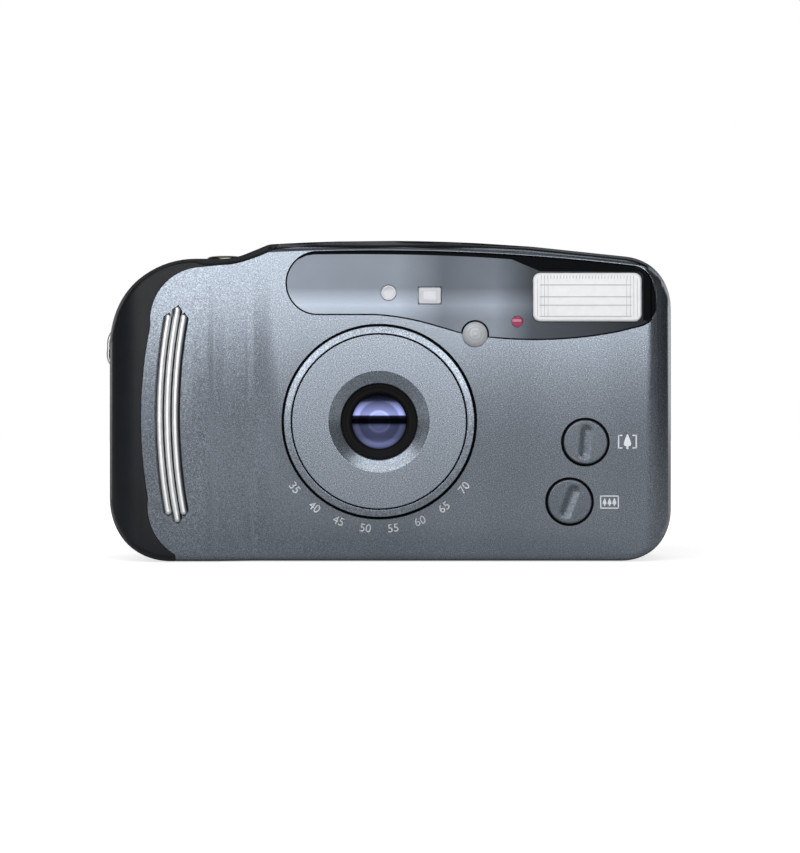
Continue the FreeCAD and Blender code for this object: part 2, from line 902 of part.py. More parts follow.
def shutter_blade(side):
    """One leaf of the shutter; leaf b lies in front of leaf a and mirrors it."""
    sign = -1 if side == "a" else 1
    layer = 1 if side == "a" else 3
    back = shutter_y() - layer * blade_thickness
    y = (back - blade_thickness, back)
    pivot_x, pivot_z = pivot_places()[side]
    leaf = rod_y(sign * blade_centre, axis_z, blade_radius, y, blade_sides)
    arm = box((pivot_x - blade_arm / 2, pivot_x + blade_arm / 2), y, (pivot_z, axis_z - blade_centre))
    eye = rod_y(pivot_x, pivot_z, blade_arm / 2, y, PIN_SIDES)
    return joined(leaf, arm, eye).cut(rod_y(pivot_x, pivot_z, pivot_radius + window_gap, y))


def gear_points(pitch_radius, teeth, angles):
    """Corners of trapezoid teeth centred on the given angles, in degrees."""
    tip = pitch_radius + tooth_height * gear_module
    root = pitch_radius - tooth_depth * gear_module
    pitch = 360.0 / teeth
    points = []
    for angle in angles:
        for radius, share in ((root, -tooth_root_share), (tip, -tooth_tip_share),
                              (tip, tooth_tip_share), (root, tooth_root_share)):
            turn = math.radians(angle + share * pitch)
            points.append(Vector(radius * math.cos(turn), 0, axis_z + radius * math.sin(turn)))
    return points


def zoom_cam_ring():
    pitch = 360.0 / ring_teeth
    first = pinion_angle + 1.5 * pitch
    angles = [first - step * pitch for step in range(toothed_part)][::-1]
    points = gear_points(ring_pitch_radius, ring_teeth, angles)
    rim = math.radians((angles[0] + angles[-1]) / 2 + 180)
    root = ring_pitch_radius - tooth_depth * gear_module
    far_side = Vector(root * math.cos(rim), 0, axis_z + root * math.sin(rim))
    plain = Part.Arc(points[-1], far_side, points[0]).toShape()
    wire = Part.Wire([Part.makePolygon(points), plain])
    ring = prism_y(wire, (ring_front_y, ring_front_y + ring_width))
    y = (ring_front_y, ring_front_y + ring_width)
    return ring.cut(rod_y(0, axis_z, barrel_radius + barrel_fit, y, BORE_SIDES))


def zoom_pinion():
    pitch = 360.0 / pinion_teeth
    angles = [pinion_angle + 180 + step * pitch for step in range(pinion_teeth)]
    points = gear_points(pinion_radius, pinion_teeth, angles)
    wheel = prism_y(Part.makePolygon(points + points[:1]), (ring_front_y, ring_front_y + ring_width))
    wheel.translate(Vector(pinion_x, 0, pinion_z - axis_z))
    bore = rod_y(pinion_x, pinion_z, pinion_shaft_radius + window_gap, (-FAR, FAR))
    return wheel.cut(bore)


def motor_y():
    return ring_front_y + ring_width + motor_gap


def zoom_motor():
    y = motor_y()
    can = rod_y(pinion_x, pinion_z, motor_radius, (y, y + motor_length), CAN_SIDES)
    return can.fuse(rod_y(pinion_x, pinion_z, pinion_shaft_radius, (ring_front_y, y), PIN_SIDES))


def lens_housing():
    half = housing_half
    corners = rounded_box_corners((-half, half), (axis_z - half, axis_z + half), housing_corner)
    y = (inner_front_y + housing_front_gap, ring_front_y - fit_gap)
    block = prism_y(rounded(on_front, corners, arcs=False), y)
    return block.cut(rod_y(0, axis_z, barrel_radius + barrel_fit, y, BORE_SIDES))


def chamber(x, y, radius, z):
    """Film chamber, round at the front and open to the back."""
    return joined(rod_z(x, y, radius, z, CAN_SIDES), box((x - radius, x + radius), (y, FAR), z))


def sprocket_y():
    return film_y - sprocket_setback


def battery_tube_span():
    return (battery_base_z + tube_setback, battery_base_z + battery_length - tube_setback)


def main_chassis():
    half_width = gate_width / 2
    half_height = gate_height / 2
    plate = box((chassis_left_x, chassis_right_x), (plate_y, film_y), (chassis_base_z, chassis_top_z))
    wide = (chamber_base_z - 2 * chamber_wall, chamber_top_z + 2 * chamber_wall)
    high = (chamber_base_z, chamber_top_z)
    cassette_shell = chamber(cassette_x, cassette_y, cassette_radius + chamber_wall, wide)
    takeup_shell = chamber(takeup_x, takeup_y, takeup_radius + chamber_wall, wide)
    lens_plate = box((-post_place - post_radius, post_place + post_radius),
                     (tunnel_front_y, tunnel_front_y + post_radius),
                     (axis_z - post_place - post_radius, axis_z + post_place + post_radius))
    tunnel = tapered_tunnel(half_width + tunnel_wall, half_height + tunnel_wall)
    solid = joined(plate, cassette_shell, takeup_shell, lens_plate, tunnel)
    solid = solid.common(box((-FAR, FAR), (-FAR, film_y), (0, FAR)))
    posts = []
    for x in (-post_place, post_place):
        for z in (axis_z - post_place, axis_z + post_place):
            posts.append(rod_y(x, z, post_radius, (ring_front_y - fit_gap, tunnel_front_y), PIN_SIDES))
    tube_radius_outside = battery_radius + battery_fit + chamber_wall
    tube = rod_z(battery_x, battery_y, tube_radius_outside, battery_tube_span(), CAN_SIDES)
    y = sprocket_y()
    lugs = []
    for side in (-1, 1):
        near = axis_z + side * (perforation_spread + lug_space)
        lugs.append(box((sprocket_x - fork_radius, sprocket_x + fork_radius), (y - lug_half, plate_y + wall / 4),
                        (near, near + side * lug_height)))
    bridge = box((chassis_left_x - bridge_wall / 2, chassis_left_x + bridge_wall / 2),
                 (battery_y + battery_radius, film_y),
                 (axis_z - bridge_half, axis_z + bridge_half))
    solid = joined(solid, tube, bridge, *posts, *lugs)
    pocket_z = (axis_z - perforation_spread - lug_space, axis_z + perforation_spread + lug_space)
    reach = sprocket_radius + sprocket_tooth + fit_gap
    cuts = [
        chamber(cassette_x, cassette_y, cassette_radius, high),
        chamber(takeup_x, takeup_y, takeup_radius, high),
        tapered_tunnel(half_width, half_height),
        rod_z(battery_x, battery_y, battery_radius + battery_fit, (0, shoulder_z), CAN_SIDES),
        box((sprocket_x - reach, sprocket_x + reach), (y - reach, FAR), pocket_z),
        rod_z(sprocket_x, y, sprocket_shaft_radius + window_gap, (chassis_base_z, chassis_top_z), PIN_SIDES),
        rod_z(cassette_x, cassette_y, fork_radius + fit_gap, (chamber_top_z, shoulder_z), PIN_SIDES),
        rod_y(pinion_x, pinion_z, motor_radius + window_gap, (0, plate_y), CAN_SIDES),
    ]
    return solid.cut(cuts)


def tapered_tunnel(half_width, half_height):
    x = half_width - tunnel_taper
    z = half_height - tunnel_taper
    tunnel = Part.makeWedge(-x, tunnel_front_y, -z, -half_height, -half_width,
                            x, film_y, z, half_height, half_width)
    tunnel.translate(Vector(0, 0, axis_z))
    return tunnel


def takeup_spool():
    z = (chamber_base_z + spool_gap, chamber_top_z - spool_gap)
    spool = rod_z(takeup_x, takeup_y, spool_radius, z, CAN_SIDES)
    slot = box((takeup_x - spool_slot / 2, takeup_x + spool_slot / 2), (takeup_y, FAR),
               (axis_z - gate_height / 2, axis_z + gate_height / 2))
    return spool.cut(slot)


def sprocket_wheel():
    y = sprocket_y()
    ends = axis_z - perforation_spread - lug_space - lug_height + fit_gap
    wheel = rod_z(sprocket_x, y, sprocket_shaft_radius, (ends + lug_height, 2 * axis_z - ends), PIN_SIDES)
    journal = rod_z(sprocket_x, y, sprocket_shaft_radius, (ends, ends + lug_height))
    wheel = wheel.fuse(journal)
    pitch = 2 * math.pi / sprocket_teeth
    points = []
    tip = sprocket_radius + sprocket_tooth
    for tooth in range(sprocket_teeth):
        for share, radius in ((-sprocket_root_share, sprocket_radius), (-sprocket_tip_share, tip),
                              (sprocket_tip_share, tip), (sprocket_root_share, sprocket_radius)):
            turn = (tooth + share) * pitch
            points.append(Vector(sprocket_x + radius * math.cos(turn), y + radius * math.sin(turn), 0))
    star = Part.makePolygon(points + points[:1])
    for z in (axis_z - perforation_spread, axis_z + perforation_spread):
        wheel = wheel.fuse(prism_z(star, (z - sprocket_radius / 2, z + sprocket_radius / 2)))
    return wheel


def rewind_fork():
    gear_z = chamber_top_z + 2 * chamber_wall + fit_gap
    fork = rod_z(cassette_x, cassette_y, fork_radius, (chamber_top_z - fork_length, gear_z), PIN_SIDES)
    half = fork_radius / 3
    slot = box((cassette_x - FAR, cassette_x + FAR), (cassette_y - half, cassette_y + half),
               (0, chamber_top_z - fork_length / 2))
    gear = rod_z(cassette_x, cassette_y, fork_gear_radius, (gear_z, gear_z + fork_gear_thickness), CAN_SIDES)
    return joined(fork.cut(slot), gear)


def zoom_button(x, z, tilt):
    front = front_y - zoom_button_proud
    cap = rod_y(x, z, zoom_button_radius, (front, front + zoom_button_length), CAN_SIDES)
    scoop = (groove_width ** 2 / 4 + groove_depth ** 2) / (2 * groove_depth)
    turn = math.radians(tilt)
    along = Vector(math.sin(turn), 0, math.cos(turn))
    start = Vector(x, front + groove_depth - scoop, z) - along * FAR
    return cap.cut(Part.makeCylinder(scoop, 2 * FAR, start, along))


def shutter_ring():
    z = (shoulder_z - wall, shoulder_z + fit_gap)
    inner = release_radius - release_ring_width
    ring = rod_z(release_x, release_y, release_radius, z, CAN_SIDES)
    return ring.cut(rod_z(release_x, release_y, inner, z, CAN_SIDES))


def shutter_button():
    z = (shoulder_z - wall, shoulder_z + release_proud)
    return rod_z(release_x, release_y, release_radius - release_ring_width - fit_gap, z, CAN_SIDES)


def top_button(x, radius):
    top = crown_height(x)
    return rod_z(x, top_button_y, radius, (top - button_depth, top + top_button_proud), CAN_SIDES)


def lcd_window(body):
    return body.common(lcd_block((crown_height(lcd_x) - lcd_thickness, FAR)))


def board_z():
    return finder_top_z + fit_gap


def lcd_module():
    z = (board_z() + board_thickness, crown_height(lcd_x) - lcd_thickness - fit_gap)
    return lcd_block(z, -fit_gap)


def main_board():
    half = board_half_depth
    return box((board_left_x, board_right_x), (-half, half), (board_z(), board_z() + board_thickness))


def film_door(body):
    door = body.common(door_space(0.0))
    catch_x = door_right_x - door_ledge - catch_width - door_gap
    z = (latch_z - catch_height / 2, latch_z + catch_height / 2)
    catch = box((catch_x, catch_x + catch_width / 2), (catch_y, door_inner_y), z)
    nose = box((catch_x, catch_x + catch_width), (catch_y, catch_y + fork_gear_thickness), z)
    door = joined(door, catch, nose)
    pin = rod_z(hinge_x, hinge_y, hinge_pin_radius + window_gap, pin_span(), PIN_SIDES)
    return door.cut([door_glass(window_gap), pin])


def door_glass(grow=0.0):
    half = (door_window_width / 2 + grow, door_window_height / 2 + grow)
    return box((cassette_x - half[0], cassette_x + half[0]), (door_inner_y, back_y),
               (axis_z - half[1], axis_z + half[1]))


def door_seal():
    z = (door_base_z + 2 * door_ledge, door_top_z - 2 * door_ledge)
    y = (door_inner_y - seal_width, door_inner_y)
    left = door_left_x + door_ledge + door_gap
    right = door_right_x - 3 * catch_width
    strips = [box((x, x + seal_width), y, z) for x in (left, right)]
    return Part.makeCompound(strips)


def door_latch():
    inner_x = right_x - wall - fit_gap
    half = latch_width / 2
    knob_half = half - latch_lip - fit_gap
    knob = box((inner_x, right_x + latch_proud), (latch_y - knob_half, latch_y + knob_half),
               (latch_z - latch_height / 2 + fit_gap, latch_z + latch_height / 2 - fit_gap))
    plate = box((inner_x - 1, inner_x), (latch_y - half, latch_y + half),
                (latch_z - latch_height / 2 - 2 * latch_travel, latch_z + latch_height / 2 + latch_travel))
    arm_y = catch_y + fork_gear_thickness + door_gap
    arm = box((door_right_x - door_ledge + fit_gap, inner_x), (arm_y, arm_y + catch_width / 2),
              (latch_z - catch_height / 2, latch_z + catch_height / 2))
    return joined(knob, plate, arm)


def pressure_plate():
    half = (gate_width / 2 + pressure_margin, gate_height / 2 + pressure_margin)
    front = film_y + pressure_gap
    return box((-half[0], half[0]), (front, front + pressure_thickness), (axis_z - half[1], axis_z + half[1]))


def pressure_spring():
    """Bowed leaf between the pressure plate and the door."""
    start = film_y + pressure_gap + pressure_thickness
    half = gate_width / 3
    back = door_inner_y - leaf_thickness
    wire = path(from_above, (-half, back), [
        (0, start, half, back),
        (half, door_inner_y),
        (0, start + leaf_thickness, -half, door_inner_y),
    ])
    return prism_z(wire, (axis_z - leaf_half_width, axis_z + leaf_half_width))


def finder_tunnel():
    y = (inner_front_y + finder_front_gap, back_y - rear_wall - finder_front_gap)
    half = finder_half_width
    tube = box((finder_x - half, finder_x + half), y, (finder_base_z, finder_top_z))
    inner = half - finder_wall
    return tube.cut(box((finder_x - inner, finder_x + inner), y,
                        (finder_base_z + finder_wall, finder_top_z - finder_wall)))


def finder_lens(y, thickness):
    half = finder_half_width - finder_wall - fit_gap
    base = finder_base_z + finder_wall + fit_gap
    return box((finder_x - half, finder_x + half), (y, y + thickness), (base, 2 * finder_z - base))


def eyepiece():
    y = (back_y - rear_wall - finder_front_gap, back_y - eyepiece_sunk)
    half = (eyepiece_width / 2 - window_gap, eyepiece_height / 2 - window_gap)
    return box((finder_x - half[0], finder_x + half[0]), y, (eyepiece_z - half[1], eyepiece_z + half[1]))


def af_module():
    right = finder_x - finder_half_width - fit_gap
    return box((2 * af_x - right, right), (inner_front_y + fit_gap, inner_front_y + af_depth),
               (finder_base_z + finder_wall, finder_top_z - finder_wall))


def flash_box():
    return ((flash_left_x + flash_margin, flash_right_x - flash_margin),
            (inner_front_y + fit_gap, inner_front_y + flash_depth),
            (flash_base_z + flash_margin / 2, flash_top_z - flash_margin / 2))


def flash_reflector():
    x, y, z = flash_box()
    rim = flash_wall
    middle = (z[0] + z[1]) / 2
    throat = tube_radius + 2 * fit_gap
    corners = [(y[0], z[0] + rim), (y[1] - rim, middle - throat),
               (y[1] - rim, middle + throat), (y[0], z[1] - rim)]
    points = [Vector(x[0] + rim, a, b) for a, b in corners]
    trough = Part.Face(Part.makePolygon(points + points[:1])).extrude(Vector(x[1] - x[0] - 2 * rim, 0, 0))
    return box(x, y, z).cut(trough)


def flash_tube():
    x, y, z = flash_box()
    inset = flash_wall + window_gap
    tube_y = y[1] - inset - tube_radius - fit_gap
    ring = flat_sided(from_side, tube_y, (z[0] + z[1]) / 2, tube_radius, PIN_SIDES)
    tube = Part.Face(ring).extrude(Vector(x[1] - x[0] - 2 * inset, 0, 0))
    tube.translate(Vector(x[0] + inset, 0, 0))
    return tube


def flash_capacitor():
    z = (capacitor_base_z, capacitor_base_z + capacitor_length)
    return rod_z(capacitor_x, capacitor_y, capacitor_radius, z, CAN_SIDES)


def battery():
    top = battery_base_z + battery_length
    cell = rod_z(battery_x, battery_y, battery_radius, (battery_base_z, top), CAN_SIDES)
    z = (top, top + battery_terminal_height)
    terminal = rod_z(battery_x, battery_y, battery_terminal_radius, z, PIN_SIDES)
    return cell.fuse(terminal)


def battery_contacts():
    base = battery_base_z + battery_length + battery_terminal_height + window_gap
    right = battery_x + battery_radius + battery_fit + chamber_wall + window_gap
    y = (battery_y - contact_half, battery_y + contact_half)
    leaf = box((battery_x - contact_half, right + contact_thickness), y, (base, base + contact_thickness))
    leg = box((right, right + contact_thickness), y, (base - 2 * tube_setback - contact_half, base))
    return joined(leaf, leg)


def battery_door():
    y = hatch_depth()
    hatch = battery_hatch(y, battery_door_thickness, hatch_sunk)
    knuckle = rod_y(battery_door_right_x, battery_hinge_z(), battery_hinge_radius, y, PIN_SIDES)
    pin = rod_y(battery_door_right_x, battery_hinge_z(), battery_pin_radius + window_gap, y, PIN_SIDES)
    return joined(hatch, knuckle).cut(pin)


def hatch_pin_span():
    y = hatch_depth()
    return (y[0] - hatch_pin_reach, y[1] + hatch_pin_reach)


def battery_door_pin():
    return rod_y(battery_door_right_x, battery_hinge_z(), battery_pin_radius, hatch_pin_span(), PIN_SIDES)


def tripod_socket():
    boss = rod_z(0, 0, socket_boss_radius, (0, socket_bore_length + socket_floor), PIN_SIDES)
    return boss.cut(rod_z(0, 0, socket_bore_radius, (0, socket_bore_length)))


def strap_lug():
    """Flat eyelet that stands out of the left side, its feet let into the cover."""
    x = (left_x - lug_reach, left_x + lug_wire)
    y = (-lug_wire / 2, lug_wire / 2)
    ear = prism_y(rounded(on_front, lug_corners(x, (lug_base_z, lug_top_z), lug_corner)), y)
    eye_x = (x[0] + lug_wire, x[1] + lug_wire)
    eye_z = (lug_base_z + lug_wire, lug_top_z - lug_wire)
    return ear.cut(prism_y(rounded(on_front, lug_corners(eye_x, eye_z, lug_corner - lug_wire / 2)), y))


def lug_corners(x, z, radius):
    return [(x[0], z[0], radius), (x[0], z[1], radius), (x[1], z[1], 0), (x[1], z[0], 0)]


def body_screws():
    z = (screw_sunk, screw_sunk + screw_length)
    screws = [rod_z(x, y, screw_radius, z, PIN_SIDES) for x, y in screw_places()]
    return Part.makeCompound(screws)


def rewind_button():
    z = (rewind_sunk, rewind_sunk + wall + fit_gap)
    return rod_z(rewind_x, rewind_y, rewind_radius, z, PIN_SIDES)


def build():
    body = envelope()
    inside = cavity()
    lug = strap_lug()
    parts = {
        "front_cover": front_cover(body, inside),
        "rear_cover": rear_cover(body, inside).cut(lug),
        "grip_backing": grip_backing(),
        "grip_ribs": grip_ribs(),
        "window_panel": window_panel(body),
        "flash_window": prism_y(flash_wire(), (front_y - flash_proud, floor_y)),
        "viewfinder_window": finder_block((panel_y, floor_y)),
        "af_window": rod_y(af_x, af_z, af_radius, (panel_y, floor_y), CAN_SIDES),
        "light_sensor_lens": dome(sensor_x, sensor_z, sensor_radius, sensor_dome, (front_y, floor_y)),
        "self_timer_lamp": rod_y(lamp_x, lamp_z, lamp_radius, (panel_y - fit_gap, floor_y), PIN_SIDES),
        "lens_ring": lens_ring(),
        "lens_barrel": lens_barrel(),
        "front_lens_cell": front_lens_cell(),
        "front_lens": front_lens(),
        "rear_lens_cell": rear_lens_cell(),
        "rear_lens": rear_lens(),
        "shutter_base": shutter_base(),
        "shutter_blade_a": shutter_blade("a"),
        "shutter_blade_b": shutter_blade("b"),
        "zoom_cam_ring": zoom_cam_ring(),
        "zoom_pinion": zoom_pinion(),
        "zoom_motor": zoom_motor(),
        "lens_housing": lens_housing(),
        "main_chassis": main_chassis(),
        "takeup_spool": takeup_spool(),
        "sprocket_wheel": sprocket_wheel(),
        "rewind_fork": rewind_fork(),
        "zoom_tele_button": zoom_button(tele_x, tele_z, tele_groove_tilt),
        "zoom_wide_button": zoom_button(wide_x, wide_z, wide_groove_tilt),
        "shutter_ring": shutter_ring(),
        "shutter_button": shutter_button(),
        "power_button": top_button(power_x, power_radius),
        "flash_mode_button": top_button(flash_mode_x, mode_radius),
        "self_timer_button": top_button(self_timer_x, mode_radius),
        "lcd_window": lcd_window(body),
        "lcd_module": lcd_module(),
        "main_board": main_board(),
        "film_door": film_door(body),
        "film_door_window": door_glass(),
        "door_hinge_pin": rod_z(hinge_x, hinge_y, hinge_pin_radius, pin_span(), PIN_SIDES),
        "door_seal": door_seal(),
        "door_latch": door_latch(),
        "pressure_plate": pressure_plate(),
        "pressure_spring": pressure_spring(),
        "viewfinder_tunnel": finder_tunnel(),
        "viewfinder_objective": finder_lens(inner_front_y + finder_front_gap, finder_lens_thickness),
        "viewfinder_zoom_lens": finder_lens(finder_lens_y, finder_lens_thickness),
        "viewfinder_eyepiece": eyepiece(),
        "af_module": af_module(),
        "flash_reflector": flash_reflector(),
        "flash_tube": flash_tube(),
        "flash_capacitor": flash_capacitor(),
        "battery": battery(),
        "battery_contacts": battery_contacts(),
        "battery_door": battery_door(),
        "battery_door_pin": battery_door_pin(),
        "tripod_socket": tripod_socket(),
        "strap_lug": lug,
        "body_screws": body_screws(),
        "rewind_button": rewind_button(),
    }
    return parts


os.makedirs("parts", exist_ok=True)
for name, shape in build().items():
    shape.exportStep("parts/" + name + ".step")
    print(name, "solids", len(shape.Solids), "volume", round(shape.Volume, 1), "valid", shape.isValid())
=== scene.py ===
from collections import namedtuple
import json
import math

import bmesh
import bpy
from bpy.props import FloatProperty, FloatVectorProperty, PointerProperty
from mathutils import Matrix, Vector


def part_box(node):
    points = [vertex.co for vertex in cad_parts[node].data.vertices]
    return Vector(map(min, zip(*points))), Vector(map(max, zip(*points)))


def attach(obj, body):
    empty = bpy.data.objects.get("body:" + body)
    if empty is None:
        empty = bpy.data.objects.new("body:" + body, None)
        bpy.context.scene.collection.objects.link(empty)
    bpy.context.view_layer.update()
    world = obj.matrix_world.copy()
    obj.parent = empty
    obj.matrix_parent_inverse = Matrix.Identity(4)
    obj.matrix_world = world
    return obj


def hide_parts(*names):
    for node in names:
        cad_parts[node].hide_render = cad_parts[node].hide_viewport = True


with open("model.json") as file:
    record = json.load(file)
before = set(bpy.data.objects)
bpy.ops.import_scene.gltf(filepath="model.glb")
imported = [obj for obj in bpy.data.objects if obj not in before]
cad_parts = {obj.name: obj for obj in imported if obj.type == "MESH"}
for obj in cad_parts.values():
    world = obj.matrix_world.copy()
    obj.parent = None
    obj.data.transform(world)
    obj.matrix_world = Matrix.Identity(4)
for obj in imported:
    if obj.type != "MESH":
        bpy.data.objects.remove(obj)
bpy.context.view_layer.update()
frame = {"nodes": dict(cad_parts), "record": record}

bl_info = {
    "name": "Compact film camera",
    "version": (1, 0, 0),
    "blender": (4, 5, 0),
    "location": "3D View > Sidebar > Film camera",
    "description": "Dresses the packed compact film camera with its finishes and fine parts",
    "category": "Object",
}

MM = 0.001
MERGE = 0.002 * MM           # points closer than this become one
ROUND = 96                   # steps round a turned part
SHARP = math.radians(50)     # an edge of a moulding that turns more than this stays crisp
CRISP = math.radians(35)     # the same on turned and layered parts


# Places on the camera, in millimetres, as in the solids

LENS_Z = 30.0
FRONT_Y = -18.5              # flat face of the front cover
PANE_Y = FRONT_Y + 0.15      # face of the window panel
PRINT_Y = FRONT_Y - 0.05     # prints lie on the paint
BARREL_FRONT_Y = -24.0
REAR_Y = 18.5
DOME_SPOT = (20.6, 48.8)     # a spot on the front or the back is (x, z)
LAMP_SPOT = (29.7, 51.5)
FOCUS_SPOT = (2.0, 57.7)
FINDER_SPOT = (10.86, 57.1)
TELE_SPOT = (44.3, 25.6)
TELE_PICTURE_SPOT = (53.35, 25.7)
WIDE_SPOT = (40.9, 12.8)
WIDE_PICTURE_SPOT = (49.5, 12.7)
GRIP_SPOT = (-45.4, 31.5)
RELEASE_SPOT = (-34.0, -5.0)  # a spot on the top or the base is (x, y)


# Mesh tools

def mm(*values):
    return Vector(values) * MM


Extent = namedtuple("Extent", "low high middle half")


def extent(node):
    """Lowest corner, highest corner, middle and half size of a node, in millimetres."""
    low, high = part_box(node)
    return Extent(low / MM, high / MM, (low + high) / 2 / MM, (high - low) / 2 / MM)


def new_object(name, mesh):
    piece = bpy.data.objects.new(name, mesh)
    bpy.context.scene.collection.objects.link(piece)
    return piece


def made(shape, name):
    """Object from a bmesh, which is used up."""
    mesh = bpy.data.meshes.new(name)
    shape.to_mesh(mesh)
    shape.free()
    return new_object(name, mesh)


def closed(shape, name):
    """Object from a bmesh whose doubles are merged and whose faces point outwards."""
    bmesh.ops.remove_doubles(shape, verts=shape.verts, dist=MERGE)
    bmesh.ops.recalc_face_normals(shape, faces=shape.faces)
    return made(shape, name)


def wire(name, spots, loop=False):
    """Object that is a row of edges through spots; a loop joins its last spot to its first."""
    count = len(spots)
    edges = [(step, (step + 1) % count) for step in range(count if loop else count - 1)]
    mesh = bpy.data.meshes.new(name)
    mesh.from_pydata(spots, edges, [])
    return new_object(name, mesh)


def join(name, pieces):
    """One object from several, which are used up."""
    shape = bmesh.new()
    for piece in pieces:
        shape.from_mesh(piece.data)
        bpy.data.objects.remove(piece)
    bmesh.ops.recalc_face_normals(shape, faces=shape.faces)
    return made(shape, name)


def smooth(piece, angle=SHARP):
    """Shades a piece smooth, with edges over the angle kept crisp and flats kept flat."""
    piece.data.shade_smooth()
    piece.data.set_sharp_from_angle(angle=angle)
    weighted = piece.modifiers.new("Even shading", "WEIGHTED_NORMAL")
    weighted.keep_sharp = True
    weighted.weight = 80
    return bake(piece)


def bake(piece):
    """Turns the modifiers of a piece into plain mesh."""
    graph = bpy.context.evaluated_depsgraph_get()
    mesh = bpy.data.meshes.new_from_object(piece.evaluated_get(graph))
    old = piece.data
    piece.modifiers.clear()
    piece.data = mesh
    bpy.data.meshes.remove(old)
    mesh.name = piece.name
    return piece


def fit(piece, body, finish_name, *nodes):
    """Gives a piece its finish and its body, and hides the nodes it stands for."""
    finish = FINISH[finish_name]
    piece.data.materials.clear()
    piece.data.materials.append(finish)
    if nodes:
        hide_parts(*nodes)
    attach(piece, body)


def node_shape(node):
    """Bmesh of a node's own mesh, with its loose triangles joined."""
    shape = bmesh.new()
    shape.from_mesh(frame["nodes"][node].data)
    bmesh.ops.remove_doubles(shape, verts=shape.verts, dist=MERGE)
    return shape


def refined(name, node, edge):
    """Moulded copy of a node: its facets joined, its sharp edges broken by a small round."""
    shape = node_shape(node)
    bmesh.ops.dissolve_limit(shape, angle_limit=math.radians(1.5), verts=shape.verts, edges=shape.edges)
    sharp = [e for e in shape.edges if len(e.link_faces) == 2 and e.calc_face_angle(0.0) > SHARP]
    bmesh.ops.bevel(shape, geom=sharp, offset=edge * MM, segments=2, profile=0.5, affect="EDGES",
                    clamp_overlap=True)
    return smooth(made(shape, name))


# Shape tools

def upright(x, z):
    """Places round a spot on the front or the back."""
    return lambda a, b, height: mm(x + a, height, z + b)


def level(x, y):
    """Places round a spot on the top or the base."""
    return lambda a, b, height: mm(x + a, y + b, height)


def endwise(y, z):
    """Places round a spot on the left or the right end."""
    return lambda a, b, height: mm(height, y + a, z + b)


def stops(count):
    return [step / count for step in range(count + 1)]


def bow(share, start, middle, end):
    """Point on the curve that passes three points; its share runs from 0 to 1."""
    start, middle, end = Vector(start), Vector(middle), Vector(end)
    pull = middle * 2 - (start + end) / 2
    return tuple(start.lerp(pull, share).lerp(pull.lerp(end, share), share))


def circle(radius, steps=ROUND):
    """Points round a circle; one of no size is a single point."""
    if radius < 1e-6:
        return [(0.0, 0.0)]
    turns = [2 * math.pi * step / steps for step in range(steps)]
    return [(radius * math.cos(turn), radius * math.sin(turn)) for turn in turns]


def rounded_outline(half_width, half_height, radius, steps=6):
    """Corner points of a rounded rectangle about its middle."""
    points = []
    for quarter, (sx, sz) in enumerate(((1, 1), (-1, 1), (-1, -1), (1, -1))):
        for share in stops(steps):
            turn = math.pi / 2 * (quarter + share)
            points.append((sx * (half_width - radius) + radius * math.cos(turn),
                           sz * (half_height - radius) + radius * math.sin(turn)))
    return points


def eased(points, radius, steps=4):
    """Open profile with its inner corners rounded; points are (radius, height)."""
    out = [Vector(points[0])]
    for before, corner, after in zip(points, points[1:], points[2:]):
        before, corner, after = Vector(before), Vector(corner), Vector(after)
        back = before - corner
        ahead = after - corner
        reach = min(radius, back.length * 0.45, ahead.length * 0.45)
        start = corner + back.normalized() * reach
        end = corner + ahead.normalized() * reach
        for share in stops(steps):
            out.append(start.lerp(corner, share).lerp(corner.lerp(end, share), share))
    out.append(Vector(points[-1]))
    return out


def domed(radius, foot, back, rise, steps=8, dents=()):
    """Profile of a round window with a domed front; a dent is a ring moulded on its inside."""
    bulge = (radius ** 2 + rise ** 2) / (2 * rise)
    profile = [(0.0, back), (radius, back)]
    for step in range(steps + 1):
        reach = radius * (1 - step / steps)
        dent = 0.12 if any(inner < reach < outer for inner, outer in dents) else 0.0
        profile.append((reach, foot - rise + bulge - math.sqrt(bulge ** 2 - reach ** 2) + dent))
    return profile


def rows(shape, layers, place):
    """Rows of points for a shape, one for each layer; a layer is (outline, height)."""
    return [[shape.verts.new(place(a, b, height)) for a, b in outline] for outline, height in layers]


def skin(shape, loops):
    """Faces from each row of points to the next; a row may be a single point."""
    for one, two in zip(loops, loops[1:]):
        count = max(len(one), len(two))
        for step in range(count):
            after = (step + 1) % count
            around = ((one, step), (one, after), (two, after), (two, step))
            corners = list(dict.fromkeys(row[at % len(row)] for row, at in around))
            if len(corners) > 2:
                shape.faces.new(corners)


def turned(name, profile, place, steps=ROUND):
    """Solid turned from a closed profile of (radius, height); place gives each point its spot."""
    shape = bmesh.new()
    loops = rows(shape, [(circle(radius, steps), height) for radius, height in profile], place)
    skin(shape, loops + loops[:1])
    return smooth(closed(shape, name), CRISP)


def layered(name, layers, place, through=False):
    """Solid built up from outlines of the same number of points; a layer is (outline, height).

    One that is through is a sleeve: its last layer joins its first.
    """
    shape = bmesh.new()
    loops = rows(shape, layers, place)
    if through:
        skin(shape, loops + loops[:1])
    else:
        skin(shape, loops)
        shape.faces.new(loops[0])
        shape.faces.new(loops[-1])
    return smooth(closed(shape, name), CRISP)


def pad(name, half_width, half_height, radius, front, back, ease, place):
    """Rounded rectangular pane, with its front edge eased; front and back are heights."""
    rise = 1 if front > back else -1
    layers = [(rounded_outline(half_width, half_height, radius), back)]
    for share in stops(3):
        turn = math.pi / 2 * share
        inset = ease * (1 - math.cos(turn))
        height = front - rise * ease * (1 - math.sin(turn))
        corner = max(radius - inset, 0.05)
        layers.append((rounded_outline(half_width - inset, half_height - inset, corner), height))
    return layered(name, layers, place)


